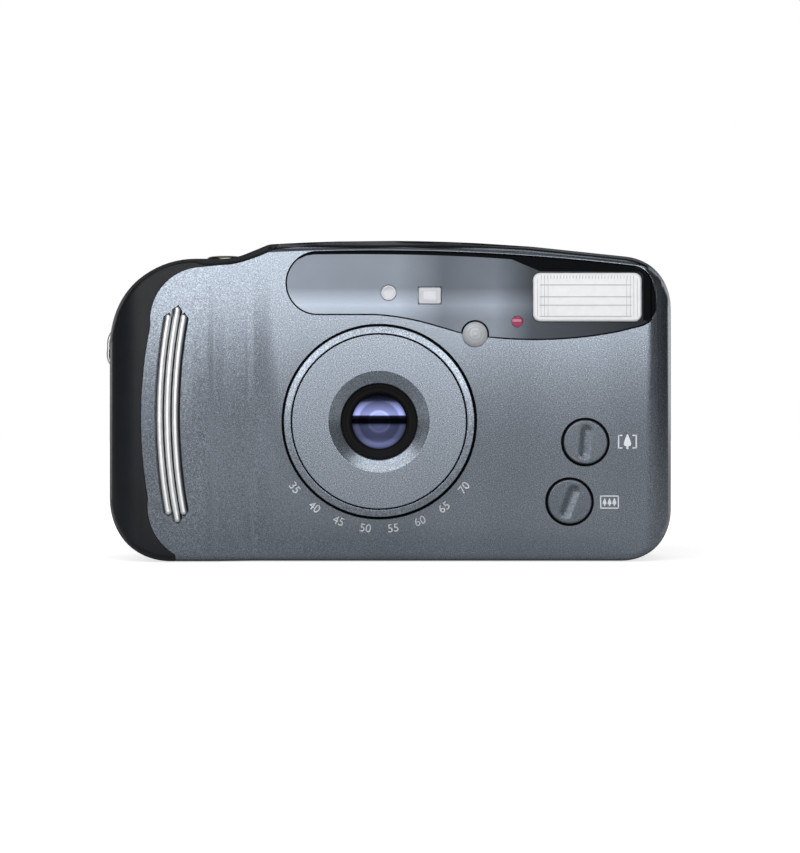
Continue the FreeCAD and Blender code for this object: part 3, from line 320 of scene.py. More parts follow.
def bar(name, width, height, proud):
    """Small upright bar about the origin, flat at the back, its front face narrower."""
    thin = min(width, height)
    inset = thin * 0.3
    back = rounded_outline(width / 2, height / 2, thin * 0.45, 3)
    front = rounded_outline(width / 2 - inset, height / 2 - inset, thin * 0.45 - inset * 0.9, 3)
    return layered(name, [(back, proud), (back, 0.0), (front, -proud)], upright(0.0, 0.0))


def ridge(length, place):
    """Small round-ended ridge about the origin, narrower at the top."""
    width, inset, rise = 0.7, 0.2, 0.15
    foot = rounded_outline(length / 2, width / 2, width * 0.45, 3)
    crest = rounded_outline(length / 2 - inset, width / 2 - inset, width * 0.2, 3)
    return layered("ridge", [(crest, -rise), (foot, 0.0), (crest, rise)], place)


# Node tools

def feed(tree, node, inputs):
    """Gives sockets of a node a link or a plain value."""
    for name, value in inputs.items():
        if isinstance(value, bpy.types.NodeSocket):
            tree.links.new(value, node.inputs[name])
        else:
            node.inputs[name].default_value = value


def add_node(tree, kind, inputs=None, **settings):
    node = tree.nodes.new(kind)
    for key, value in settings.items():
        setattr(node, key, value)
    feed(tree, node, inputs or {})
    return node


def calculate(tree, operation, *values, clamp=False):
    """Result of a sum on sockets or plain numbers."""
    node = add_node(tree, "ShaderNodeMath", dict(enumerate(values)), operation=operation, use_clamp=clamp)
    return node.outputs["Value"]


# Repeats made by Geometry Nodes

def node_tree(name, **inputs):
    """Geometry tree with named inputs, each given with its kind of socket."""
    tree = bpy.data.node_groups.new(name, "GeometryNodeTree")
    for label, kind in inputs.items():
        tree.interface.new_socket(name=label, in_out="INPUT", socket_type="NodeSocket" + kind)
    tree.interface.new_socket(name="Geometry", in_out="OUTPUT", socket_type="NodeSocketGeometry")
    return tree, tree.nodes.new("NodeGroupInput").outputs


def finish_tree(tree, geometry, given):
    """Ends a tree in real geometry with its material."""
    real = add_node(tree, "GeometryNodeRealizeInstances", {"Geometry": geometry})
    coat = add_node(tree, "GeometryNodeSetMaterial",
                    {"Geometry": real.outputs["Geometry"], "Material": given["Material"]})
    add_node(tree, "NodeGroupOutput", {"Geometry": coat.outputs["Geometry"]})
    return tree


def shaped(piece, tree, finish_name, **inputs):
    """Plain mesh that a geometry tree makes of a piece; inputs are the tree's named ones."""
    inputs["Material"] = FINISH[finish_name]
    modifier = piece.modifiers.new(tree.name, "NODES")
    modifier.node_group = tree
    for item in tree.interface.items_tree:
        if item.in_out == "INPUT" and item.name in inputs:
            modifier[item.identifier] = inputs[item.name]
    return bake(piece)


def swept(tree, curve, radius, sides, scale=1.0):
    """Round rod along a curve, closed at both ends."""
    section = add_node(tree, "GeometryNodeCurvePrimitiveCircle", {"Resolution": sides, "Radius": radius},
                       mode="RADIUS")
    rod = add_node(tree, "GeometryNodeCurveToMesh",
                   {"Curve": curve, "Profile Curve": section.outputs["Curve"], "Scale": scale,
                    "Fill Caps": True})
    return rod.outputs["Mesh"]


def cord_tree():
    """Thin round cord along every edge of the object's own mesh."""
    tree, given = node_tree("Cord along edges", Edges="Geometry", Width="Float", Material="Material")
    path = add_node(tree, "GeometryNodeMeshToCurve", {"Mesh": given["Edges"]})
    return finish_tree(tree, swept(tree, path.outputs["Curve"], given["Width"], 16), given)


def corded(piece, radius, finish_name):
    """Turns the edges of a piece into a round cord."""
    tree = bpy.data.node_groups.get("Cord along edges") or cord_tree()
    return shaped(piece, tree, finish_name, Width=radius * MM)


def repeat_tree():
    """One part set on each point of the object's own mesh."""
    tree, given = node_tree("Part on each point", Points="Geometry", Part="Object", Material="Material")
    info = add_node(tree, "GeometryNodeObjectInfo", {"Object": given["Part"]})
    spread_out = add_node(tree, "GeometryNodeInstanceOnPoints",
                          {"Points": given["Points"], "Instance": info.outputs["Geometry"]})
    return finish_tree(tree, spread_out.outputs["Instances"], given)


def repeated(name, part, places, finish_name):
    """Copies of a part at places in millimetres, as one mesh; the part itself is used up."""
    mesh = bpy.data.meshes.new(name)
    mesh.from_pydata([mm(*place) for place in places], [], [])
    tree = bpy.data.node_groups.get("Part on each point") or repeat_tree()
    piece = shaped(new_object(name, mesh), tree, finish_name, Part=part)
    bpy.data.objects.remove(part)
    return piece


def rod_tree():
    """Rounded rod along a bow, with its radius falling to nothing at both ends."""
    tree, given = node_tree("Bowed rod", Start="Vector", Middle="Vector", End="Vector", Width="Float",
                            Rounding="Float", Steps="Int", Material="Material")
    arc = add_node(tree, "GeometryNodeCurveArc",
                   {"Start": given["Start"], "Middle": given["Middle"], "End": given["End"],
                    "Resolution": given["Steps"]}, mode="POINTS")
    passed = tree.nodes.new("GeometryNodeSplineParameter").outputs["Length"]
    length = tree.nodes.new("GeometryNodeSplineLength").outputs["Length"]
    nearest = calculate(tree, "MINIMUM", passed, calculate(tree, "SUBTRACT", length, passed))
    share = calculate(tree, "DIVIDE", nearest, given["Rounding"], clamp=True)
    left = calculate(tree, "SUBTRACT", 1.0, share)
    fall = calculate(tree, "SUBTRACT", 1.0001, calculate(tree, "MULTIPLY", left, left))
    rod = swept(tree, arc.outputs["Curve"], given["Width"], 20, calculate(tree, "SQRT", fall))
    return finish_tree(tree, rod, given)


# Finish tools

def grey(tone):
    return (tone, tone, tone)


def shade(color, share):
    return tuple(min(1.0, channel * share) for channel in color)


def plain_finish(slot, color, roughness, metallic=0.0, coat=0.0, transmission=0.0, specular=0.5):
    """Material with its constant values on the shader's own sockets."""
    material = bpy.data.materials.new(slot)
    material.use_nodes = True
    material["slot"] = slot
    dress(material, {"Base Color": (*color, 1.0), "Roughness": roughness, "Metallic": metallic,
                     "Coat Weight": coat, "Coat Roughness": 0.08, "Transmission Weight": transmission,
                     "Specular IOR Level": specular})
    return material


def dress(material, inputs):
    feed(material.node_tree, material.node_tree.nodes["Principled BSDF"], inputs)


def object_place(tree):
    return tree.nodes.new("ShaderNodeTexCoord").outputs["Object"]


def spread(tree, value, start, end, low=0.0, high=1.0, **settings):
    """Value from start to end, spread from low to high."""
    inputs = {"Value": value, "From Min": start, "From Max": end, "To Min": low, "To Max": high}
    return add_node(tree, "ShaderNodeMapRange", inputs, **settings).outputs["Result"]


def grain(material, size, detail=3.0, stretch=(1.0, 1.0, 1.0), seed=0.0):
    """Noise in object space; size is that of its patches in millimetres."""
    tree = material.node_tree
    mapping = add_node(tree, "ShaderNodeMapping",
                       {"Vector": object_place(tree), "Scale": stretch, "Location": grey(seed)})
    noise = add_node(tree, "ShaderNodeTexNoise",
                     {"Vector": mapping.outputs["Vector"], "Scale": 1.0 / (size * MM), "Detail": detail})
    return noise.outputs["Fac"]


def ramp(material, factor, colors):
    """Colours along a factor; each is given as (place, colour)."""
    node = add_node(material.node_tree, "ShaderNodeValToRGB", {"Fac": factor})
    while len(node.color_ramp.elements) < len(colors):
        node.color_ramp.elements.new(0.5)
    for element, (place, color) in zip(node.color_ramp.elements, colors):
        element.position = place
        element.color = (*color, 1.0)
    return node.outputs["Color"]


def tones(material, factor, color, shares):
    """Shades of one colour along a factor; each is given as (place, share of the colour)."""
    return ramp(material, factor, [(place, shade(color, share)) for place, share in shares])


def along(material, axis, low, high, clamp=True):
    """Place along an axis of the object, as a share of the way between two places in millimetres."""
    tree = material.node_tree
    split = add_node(tree, "ShaderNodeSeparateXYZ", {"Vector": object_place(tree)})
    return spread(tree, split.outputs[axis], low * MM, high * MM, clamp=clamp)


def mixed(material, base, over, share, blend):
    """Mix of two colours."""
    node = add_node(material.node_tree, "ShaderNodeMix", {"Factor": share, 6: base, 7: over},
                    data_type="RGBA", blend_type=blend)
    return node.outputs[2]


def roughen(material, factor, low, high):
    dress(material, {"Roughness": spread(material.node_tree, factor, 0.0, 1.0, low, high)})


def relief(material, factor, height, strength):
    """Bump from a factor; height is its depth in millimetres."""
    bump = add_node(material.node_tree, "ShaderNodeBump",
                    {"Height": factor, "Strength": strength, "Distance": height * MM})
    dress(material, {"Normal": bump.outputs["Normal"]})


# Finishes of this camera

def metallic_paint(slot, color, speckle, roughness=0.2):
    """Blue-grey metallic paint with fine light and dark flakes, and painted shade over the crown above the
    window panel.
    """
    material = plain_finish(slot, color, roughness, metallic=0.93)
    flakes = tones(material, grain(material, 0.24), color,
                   [(0.3, 1 - speckle), (0.5, 1.0), (0.64, 1 + speckle), (0.72, 1 + 2 * speckle)])
    clouds = ramp(material, grain(material, 16.0, 1.0, (1.0, 1.0, 0.25), 3.0),
                  [(0.35, grey(0.45)), (0.65, grey(0.54))])
    speckled = mixed(material, flakes, clouds, 0.5, "OVERLAY")
    # painted shade: darker paint over the crown above the window panel
    dress(material, {"Base Color": mixed(material, speckled, painted_crown_shade(material), 1.0, "MULTIPLY")})
    roughen(material, grain(material, 0.4, 1.0, seed=5.0), roughness - 0.03, roughness + 0.03)
    relief(material, grain(material, 0.3, 2.0, seed=9.0), 0.003, 0.2)
    return material


def painted_crown_shade(material):
    """Painted shade: the paint darkened above the curved top edge of the window panel, where the top edge
    turns away from the light.
    """
    middle, top, slope, curve = 20.5, 66.17, -0.045, -0.00107
    tree = material.node_tree
    across = along(material, "X", middle, middle + 1.0, clamp=False)
    height = along(material, "Z", top, top + 1.0, clamp=False)
    lean = calculate(tree, "MULTIPLY_ADD", across, curve, slope)
    above = calculate(tree, "SUBTRACT", height, calculate(tree, "MULTIPLY", lean, across))
    return ramp(material, above, [(0.25, grey(1.0)), (0.4, grey(0.1)), (0.8, grey(0.12)), (1.0, grey(0.4))])


def moulded_plastic(slot, color, roughness, coat=0.0, specular=0.5):
    """Moulded plastic with a spark-eroded grain and a trace of uneven gloss."""
    material = plain_finish(slot, color, roughness, coat=coat, specular=specular)
    dress(material, {"Base Color": tones(material, grain(material, 6.0), color, [(0.3, 0.85), (0.7, 1.15)])})
    roughen(material, grain(material, 2.5, seed=2.0), roughness - 0.05, roughness + 0.07)
    relief(material, grain(material, 0.35, 2.0, seed=4.0), 0.03, 0.3)
    return material


def brushed_metal(slot, color, roughness, stretch=(1.0, 1.0, 0.04)):
    """Bare metal with fine lines along one direction."""
    material = plain_finish(slot, color, roughness, metallic=1.0)
    lines = grain(material, 0.12, 2.0, stretch)
    dress(material, {"Base Color": tones(material, lines, color, [(0.3, 0.88), (0.7, 1.08)])})
    roughen(material, lines, roughness - 0.06, roughness + 0.1)
    return material


def cast_metal(slot, color, roughness):
    """Bare metal with the same fine grain in every direction."""
    return brushed_metal(slot, color, roughness, (1.0, 1.0, 1.0))


def polished_metal(slot, color, roughness):
    """Bare metal with a satin polish and faint uneven patches."""
    material = plain_finish(slot, color, roughness, metallic=1.0)
    patches = grain(material, 1.2, 2.0)
    dress(material, {"Base Color": tones(material, patches, color, [(0.3, 0.93), (0.7, 1.04)])})
    roughen(material, patches, roughness - 0.04, roughness + 0.06)
    return material


def smoked_acrylic(slot, color):
    """Polished smoked sheet with a painted reflection, lighter towards its left end and low down, faintly
    wavy.
    """
    material = plain_finish(slot, color, 0.2, metallic=0.8, specular=0.1)
    # painted reflection: lighter towards the left end of the sheet
    length = tones(material, along(material, "X", -20.0, 60.0), color,
                   [(0.0, 3.8), (0.3, 3.8), (0.42, 1.8), (0.56, 2.3), (0.66, 0.75), (1.0, 0.15)])
    # painted reflection: lighter low down on the sheet
    height = ramp(material, along(material, "Z", 52.0, 66.0),
                  [(0.0, grey(0.7)), (0.22, grey(1.0)), (0.48, grey(0.45)), (1.0, grey(0.36))])
    dress(material, {"Base Color": mixed(material, length, height, 1.0, "MULTIPLY")})
    roughen(material, grain(material, 5.0), 0.17, 0.24)
    relief(material, grain(material, 30.0, 0.0, (1.0, 1.0, 1.6)), 1.0, 0.5)
    return material


def clear_plastic(slot, color, roughness, transmission=0.0):
    """Clear or frosted plastic with faint moulding marks."""
    clouding = 0.06
    material = plain_finish(slot, color, roughness, coat=0.5, transmission=transmission)
    marks = tones(material, grain(material, 1.6), color, [(0.3, 1 - clouding), (0.7, 1.0)])
    dress(material, {"Base Color": marks})
    roughen(material, grain(material, 0.8, seed=1.0), roughness, roughness + clouding)
    return material


def coated_glass(slot, color):
    """Coated lens glass, blue-violet, with painted reflections: light bands above and below a dark band
    across its middle, and faint rings.
    """
    reach = 6.0
    material = plain_finish(slot, color, 0.1, metallic=1.0)
    # painted reflection: light and dark bands from the top to the bottom of the glass
    painted_reflection_bands = tones(material, along(material, "Z", LENS_Z - reach, LENS_Z + reach), color,
                 [(0.0, 1.5), (0.1, 1.7), (0.22, 0.8), (0.45, 0.45), (0.47, 0.03), (0.6, 0.03), (0.62, 0.8),
                  (0.7, 0.6), (0.82, 0.3), (1.0, 0.1)])
    tree = material.node_tree
    scale = 1 / (reach * MM)
    centred = add_node(tree, "ShaderNodeMapping",
                       {"Vector": object_place(tree), "Scale": (scale, 0.0, scale),
                        "Location": (0.0, 0.0, -LENS_Z / reach)})
    radius = add_node(tree, "ShaderNodeVectorMath", {0: centred.outputs["Vector"]}, operation="LENGTH")
    # painted reflection: faint rings about the lens's axis
    painted_reflection_rings = tones(material, radius.outputs["Value"], grey(1.0),
                  [(0.0, 1.0), (0.3, 0.75), (0.36, 1.0), (0.44, 0.5), (0.7, 0.42), (0.78, 0.8), (0.88, 0.7),
                   (1.0, 0.12)])
    dress(material, {"Base Color": mixed(material, painted_reflection_bands, painted_reflection_rings, 1.0, "MULTIPLY")})
    return material


def rubber(slot, color):
    """Soft black foam or rubber with a coarse grain."""
    material = plain_finish(slot, color, 0.8)
    dress(material, {"Base Color": tones(material, grain(material, 0.5), color, [(0.3, 0.7), (0.7, 1.4)])})
    relief(material, grain(material, 0.3, seed=2.0), 0.05, 0.6)
    return material


FINISH = {}


def keep(maker, slot, *values, name=None, **settings):
    """Makes a finish and keeps it under its name, which is its slot's own unless another is given."""
    FINISH[name or slot] = maker(slot, *values, **settings)


def build_finishes(colors):
    """All finishes: one for each slot of the record, and the second ones of some slots."""
    front = tuple(colors.paint)
    black = tuple(colors.shell)
    keep(metallic_paint, "grey_paint", front, 0.38)
    keep(metallic_paint, "barrel_grey", shade(front, 1.2), 0.4, 0.27)
    keep(metallic_paint, "button_grey", shade(front, 0.62), 0.4, 0.34)
    keep(moulded_plastic, "black_shell", black, 0.38, specular=0.25)
    keep(moulded_plastic, "grip_dark", shade(black, 0.6), 0.6)
    keep(moulded_plastic, "barrel_black", shade(black, 0.8), 0.45)
    keep(moulded_plastic, "barrel_black", shade(black, 0.25), 0.6, specular=0.15, name="lens_black")
    keep(moulded_plastic, "button_black", shade(black, 1.3), 0.4)
    keep(metallic_paint, "button_silver", tuple(colors.release), 0.15)
    keep(polished_metal, "bright_metal", tuple(colors.metal), 0.4)
    keep(cast_metal, "steel", (0.6, 0.61, 0.63), 0.3)
    keep(brushed_metal, "blade_steel", (0.06, 0.06, 0.065), 0.4)
    keep(brushed_metal, "plate_black", (0.05, 0.05, 0.055), 0.45)
    keep(brushed_metal, "reflector", (0.9, 0.91, 0.92), 0.1)
    keep(cast_metal, "socket_metal", (0.72, 0.68, 0.58), 0.3)
    keep(moulded_plastic, "can_wrap", (0.05, 0.07, 0.16), 0.3, coat=0.4)
    keep(smoked_acrylic, "panel_smoke", tuple(colors.smoke))
    keep(clear_plastic, "flash_clear", (0.82, 0.83, 0.85), 0.18)
    keep(clear_plastic, "flash_clear", (0.42, 0.44, 0.46), 0.3, name="flash_groove")
    keep(clear_plastic, "window_glass", (0.7, 0.73, 0.75), 0.05, 0.85)
    keep(clear_plastic, "frosted_dome", (0.53, 0.55, 0.58), 0.3)
    keep(clear_plastic, "frosted_dome", (0.5, 0.52, 0.56), 0.15, name="finder_pane")
    keep(clear_plastic, "frosted_dome", (0.64, 0.66, 0.7), 0.15, name="finder_view")
    keep(moulded_plastic, "panel_smoke", (0.002, 0.003, 0.004), 0.4, specular=0.03, name="window_mask")
    keep(clear_plastic, "lamp_red", tuple(colors.lamp), 0.12, 0.2)
    keep(coated_glass, "lens_glass", (0.22, 0.25, 0.5))
    keep(clear_plastic, "tube_glass", (0.9, 0.91, 0.93), 0.05, 0.7)
    keep(moulded_plastic, "white_gear", (0.78, 0.78, 0.75), 0.45)
    keep(moulded_plastic, "display", (0.42, 0.46, 0.38), 0.3)
    keep(moulded_plastic, "board", (0.02, 0.16, 0.06), 0.35)
    keep(rubber, "seal_foam", (0.03, 0.03, 0.03))
    keep(moulded_plastic, "black_shell", shade(black, 0.15), 0.7, specular=0.05, name="gap_black")
    keep(moulded_plastic, "grey_paint", (0.78, 0.82, 0.86), 0.5, name="white_ink")


def dress_nodes():
    """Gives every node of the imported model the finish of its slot."""
    for part in frame["record"]["subparts"]:
        node = frame["nodes"][part["node"]]
        node.data.materials.clear()
        node.data.materials.append(FINISH[part["material_slot"]])


# Shells

def build_shells():
    """Covers, doors and window panel, each refined from its node; a row ends with the size of its rounds."""
    for name, node, body, finish, edge in (
            ("front_shell", "front_cover", "camera_body", "grey_paint", 0.18),
            ("rear_shell", "rear_cover", "camera_body", "black_shell", 0.18),
            ("door_shell", "film_door", "film_door", "black_shell", 0.15),
            ("hatch_shell", "battery_door", "battery_door", "black_shell", 0.15),
            ("smoked_panel", "window_panel", "camera_body", "panel_smoke", 0.12)):
        fit(refined(name, node, edge), body, finish, node)
    front_seam("panel_seam", "window_panel", 0.4)
    build_eyelet()


def front_seam(name, node, width):
    """Dark gap line round the outline of a node's front face, as a cord half sunk in the gap."""
    shape = node_shape(node)
    front = min(vertex.co.y for vertex in shape.verts) + 0.02 * MM
    face = [f for f in shape.faces if all(vertex.co.y < front for vertex in f.verts)]
    rim = {e for f in face for e in f.edges if sum(other in face for other in e.link_faces) == 1}
    outline = set()
    ends = {min((vertex for e in rim for vertex in e.verts), key=lambda vertex: vertex.co.x)}
    while ends:
        found = {e for vertex in ends for e in vertex.link_edges if e in rim} - outline
        outline |= found
        ends = {vertex for e in found for vertex in e.verts}
    bmesh.ops.delete(shape, geom=[e for e in shape.edges if e not in outline], context="EDGES")
    fit(corded(made(shape, name), width / 2, "gap_black"), "camera_body", "gap_black")


def build_eyelet():
    """Wire loop for the wrist strap, let into the end of the camera."""
    lug = extent("strap_lug")
    radius = 0.45
    right = lug.high.x - radius
    foot, head = lug.low.z + radius, lug.high.z - radius
    tip = (lug.low.x + radius + 0.15, (foot + head) / 2)
    upper = [bow(share, (right, head), (tip[0] + 0.6, head - 0.9), tip) for share in stops(12)]
    lower = [bow(share, tip, (tip[0] + 0.35, foot + 0.8), (right, foot)) for share in stops(12)]
    spots = [mm(x, lug.middle.y, z) for x, z in upper + lower[1:]]
    eyelet = corded(wire("wrist_eyelet", spots), radius, "steel")
    fit(smooth(eyelet), "camera_body", "steel", "strap_lug")


# Lens

def build_lens(sizes):
    """Ring, barrel, cell and front glass, all turned about the lens's axis."""
    place = upright(0.0, LENS_Z)
    outer, inner = sizes.collar_radius, sizes.collar_bore
    back, front = FRONT_Y + 1.5, FRONT_Y - 4.5
    collar = [(inner, back), (inner, front), (inner + 0.25, front), (outer, front + 0.15), (outer, back)]
    fit(turned("lens_collar", eased(collar, 0.12), place), "camera_body", "barrel_grey", "lens_ring")
    gap_ring("lens_gap", (0.0, LENS_Z), outer - 0.05, outer + 0.75)
    radius, wall, length, bore = sizes.barrel_radius, 1.2, 24.5, 8.15
    front = BARREL_FRONT_Y
    foot, floor, rim = front + length, front + 3.4, front + 2.5
    bowl = [(10.75, front), (10.6, front + 0.1), (9.4, front + 0.66), (8.3, front + 1.2), (bore, front + 1.4)]
    profile = [(radius - wall, foot), (radius, foot), (radius, front)] + bowl
    barrel = eased(profile + [(bore, floor), (radius - wall, floor)], 0.12)
    fit(turned("barrel_shell", barrel, place), "lens_barrel", "barrel_grey", "lens_barrel")
    cell = [(5.85, floor), (5.85, rim + 0.5), (6.5, rim + 0.1), (7.2, rim + 0.1), (7.3, rim), (8.1, rim),
            (8.1, floor)]
    fit(turned("lens_cell", eased(cell, 0.08), place), "lens_barrel", "lens_black", "front_lens_cell")
    glass_radius, bulge, thickness = 5.8, 26.0, 2.0
    rise = bulge - math.sqrt(bulge ** 2 - glass_radius ** 2)
    glass = domed(glass_radius, rim + 0.25, rim + 0.25 - rise + thickness, rise, 16)
    fit(turned("front_element", glass, place), "lens_barrel", "lens_glass", "front_lens")


def gap_ring(name, spot, inner, outer):
    """Dark line of the gap round a turned part on the front."""
    face, back = FRONT_Y - 0.06, FRONT_Y + 0.3
    profile = [(inner, back), (inner, face), (outer, face), (outer, back)]
    fit(turned(name, profile, upright(*spot)), "camera_body", "gap_black")


# Windows

def build_windows():
    """Dome, lamp and focus window, and after them the finder, the flash and the black band on the panel."""
    radius, rise = 2.7, 1.3
    back = extent("light_sensor_lens").high.y
    dome = domed(radius, PANE_Y, back, rise, 27, dents=((0.45, 0.65), (1.35, 1.6)))
    fit(turned("sensor_dome", dome, upright(*DOME_SPOT)), "camera_body", "frosted_dome", "light_sensor_lens")
    radius = 1.15
    size = extent("self_timer_lamp")
    lamp = domed(radius, PANE_Y, size.high.y, PANE_Y - size.low.y)
    fit(turned("lamp_lens", lamp, upright(*LAMP_SPOT), 48), "camera_body", "lamp_red", "self_timer_lamp")
    radius, rim = 1.6, 0.35
    size = extent("af_window")
    front, back, field = size.low.y, size.high.y, size.low.y + 0.1
    pane = [(0.0, back), (radius, back), (radius, front), (radius - rim, front), (radius - rim - 0.1, field),
            (0.0, field)]
    fit(turned("focus_pane", eased(pane, 0.08), upright(*FOCUS_SPOT), 64), "camera_body", "finder_view",
        "af_window")
    build_finder()
    build_flash()
    build_mask()


def build_finder():
    """Outer pane of the finder, and inside it a paler pane: painted light showing through the finder."""
    half_width, half_height = 2.47, 1.825
    view_half_width, view_half_height = 1.4, 0.9
    size = extent("viewfinder_window")
    front, back = size.low.y, size.high.y
    place = upright(*FINDER_SPOT)
    pane = pad("finder_pane", half_width, half_height, 0.5, front, back, 0.25, place)
    fit(pane, "camera_body", "finder_pane", "viewfinder_window")
    # painted light: a paler pane where light shows through the finder
    view = pad("finder_view", view_half_width, view_half_height, 0.3, front - 0.02, front + 0.1, 0.05, place)
    fit(view, "camera_body", "finder_view")


def build_flash():
    """Clear pane with the lines of its moulded prisms."""
    size = extent("flash_window")
    middle, half, front = size.middle, size.half, size.low.y
    pane = pad("flash_pane", half.x, half.z, 1.6, front, size.high.y, 0.5, upright(*middle.xz))
    fit(pane, "camera_body", "flash_clear", "flash_window")
    proud = 0.03
    width = 2 * half.x - 3.6
    rows = [(middle.x - 0.4, front, middle.z + z) for z in (2.6, 0.05, -1.75, -4.15)]
    columns = [(middle.x + side * (half.x - 1.0 - 0.75 * step), front, middle.z - 0.1)
               for side in (-1, 1) for step in range(4)]
    teeth = [(middle.x + width * (share - 0.5), front, middle.z + half.z - 0.95) for share in stops(29)]
    parts = [repeated("flash_rows", bar("row", width, 0.2, proud), rows, "flash_groove"),
             repeated("flash_columns", bar("column", 0.1, 2 * half.z - 2.4, proud), columns, "flash_groove"),
             repeated("flash_teeth", bar("tooth", 0.14, 0.8, proud), teeth, "flash_groove")]
    fit(join("flash_prisms", parts), "camera_body", "flash_groove")


def build_mask():
    """Thin black band along the top of the window panel and round the end of the flash."""
    flash = extent("flash_window")
    left, right, top = flash.low.x, flash.high.x + 0.35, flash.high.z + 0.25
    upper = [bow(share, (-14.0, 66.45), (20.5, 66.17), (54.6, 63.37)) for share in stops(24)]
    tip = [(56.6, 62.55), (57.95, 61.1), (59.15, 58.4), (59.45, 55.3), (58.5, 52.25), (57.7, 51.6)]
    lower = [(right, 51.9), (right, top - 0.6), (right - 0.8, top), (left + 1.5, top + 0.1)]
    rest = [bow(share, (left - 4.5, 64.9), (9.0, 65.85), (-14.0, 65.95)) for share in stops(16)]
    taper = [(-15.7, 65.7), (-17.2, 65.0), (-17.6, 65.1), (-15.9, 66.05)]
    mask = flat_shape("window_mask", upper + tip + lower + rest + taper, (0.0, 0.0), depth=PANE_Y)
    fit(mask, "camera_body", "window_mask")


# Grip

def build_rods(sizes):
    """Three bright rods let into the grip, the middle one the longest."""
    tree = rod_tree()
    bend, half_width, pitch, shorter = 116.0, 0.7, 1.65, 1.6
    x, z = GRIP_SPOT
    depth = FRONT_Y - 1.9
    rods = []
    for index in (-1, 0, 1):
        centre = x + index * pitch + bend
        turn = math.asin((sizes.rib_half_height - shorter * abs(index)) / bend)
        start, middle, end = [mm(centre - bend * math.cos(t), depth, z + bend * math.sin(t))
                              for t in (-turn, 0.0, turn)]
        rod = new_object("rod", bpy.data.meshes.new("rod"))
        rods.append(shaped(rod, tree, "bright_metal", Start=start, Middle=middle, End=end,
                           Width=half_width * MM, Rounding=half_width * MM, Steps=400))
    fit(smooth(join("grip_rods", rods), math.radians(60)), "camera_body", "bright_metal", "grip_ribs")


# Controls

def build_keys():
    groove_key("tele_key", "zoom_tele_button", TELE_SPOT, 5.0)
    groove_key("wide_key", "zoom_wide_button", WIDE_SPOT, 20.0)
    size = extent("shutter_button")
    base, top, radius = size.low.z, size.high.z, size.half.x
    crown = [(0.0, base), (radius, base), (radius, top - 0.25), (radius * 0.8, top - 0.02), (0.0, top)]
    fit(turned("release_key", eased(crown, 0.3), level(*RELEASE_SPOT)), "shutter_button", "button_silver",
        "shutter_button")
    for node, finish in (("power_button", "button_silver"), ("flash_mode_button", "button_black"),
                         ("self_timer_button", "button_black")):
        size = extent(node)
        base, top, radius = size.low.z, size.high.z, size.half.x
        dish = [(0.0, base), (radius, base), (radius, top), (radius * 0.7, top), (radius * 0.55, top - 0.25),
                (0.0, top - 0.3)]
        key = turned(node.replace("button", "key"), eased(dish, 0.2), level(*size.middle.xy), 64)
        fit(key, node, finish, node)


def groove_key(name, node, spot, tilt):
    """Round zoom key with a scooped thumb groove; tilt leans the groove to the right, in degrees."""
    size = extent(node)
    radius, rim, count = 4.75, 0.3, 48
    turn = math.radians(tilt)
    axis = Vector((math.sin(turn), math.cos(turn)))
    across = Vector((axis.y, -axis.x))
    place = upright(*spot)
    shape = bmesh.new()
    loops = []
    for ring in range(count + 1):
        reach = radius * ring / count
        edge = max(0.0, reach - radius + rim) / rim
        drop = rim * (1 - math.sqrt(max(0.0, 1 - edge ** 2)))
        loops.append([shape.verts.new(place(a, b, size.low.y + drop + scoop(Vector((a, b)), across, axis)))
                      for a, b in circle(reach)])
    loops += rows(shape, [(circle(radius), size.high.y)], place)
    skin(shape, loops)
    shape.faces.new(loops[-1])
    fit(smooth(closed(shape, name), math.radians(60)), node, "button_grey", node)
    gap_ring(name + "_gap", spot, radius, radius + 0.5)


def scoop(spot, across, axis):
    """Depth of the thumb groove at a spot: a smooth trough with round ends."""
    half_width, half_length, depth = 1.6, 4.0, 0.32
    wide = abs(spot.dot(across)) / half_width
    far = max(0.0, abs(spot.dot(axis)) - half_length + half_width) / half_width
    reach = min(1.0, math.hypot(wide, far))
    return depth * (1 + math.cos(math.pi * reach)) / 2


# Signs: plain numbers and small pictures

def number_mesh(text, size):
    """Flat number about the origin, upright and facing forwards."""
    curve = bpy.data.curves.new("number", "FONT")
    curve.body = text
    curve.size = size * MM
    curve.align_x = "CENTER"
    curve.align_y = "CENTER"
    curve.extrude = 0.015 * MM
    source = new_object("number", curve)
    graph = bpy.context.evaluated_depsgraph_get()
    mesh = bpy.data.meshes.new_from_object(source.evaluated_get(graph))
    bpy.data.objects.remove(source)
    mesh.transform(Matrix.Rotation(math.pi / 2, 4, "X"))
    return mesh


def build_signs():
    """Numbers on an arc under the lens, and the pictures beside the zoom keys."""
    radius, reach = 23.15, 104.0
    numbers = ("35", "40", "45", "50", "55", "60", "65", "70")
    signs = []
    for number, share in zip(numbers, stops(len(numbers) - 1)):
        mesh = number_mesh(number, 2.5)
        turn = math.radians(reach * (share - 0.5))
        mesh.transform(Matrix.Rotation(-turn, 4, "Y"))
        spot = mm(radius * math.sin(turn), PRINT_Y, LENS_Z - radius * math.cos(turn))
        mesh.transform(Matrix.Translation(spot))
        signs.append(new_object("number", mesh))
    fit(join("zoom_scale", signs), "camera_body", "white_ink")
    fit(join("zoom_pictures", tele_picture() + wide_picture()), "camera_body", "white_ink")


def flat_shape(name, points, spot, scale=1.0, depth=PRINT_Y):
    """Thin printed shape from its outline, about a spot at a depth."""
    x, z = spot
    shape = bmesh.new()
    back, front = [[shape.verts.new(mm(x + a * scale, depth + side * 0.02, z + b * scale)) for a, b in points]
                   for side in (1, -1)]
    skin(shape, [back, front])
    shape.faces.new(back)
    shape.faces.new(front)
    return closed(shape, name)


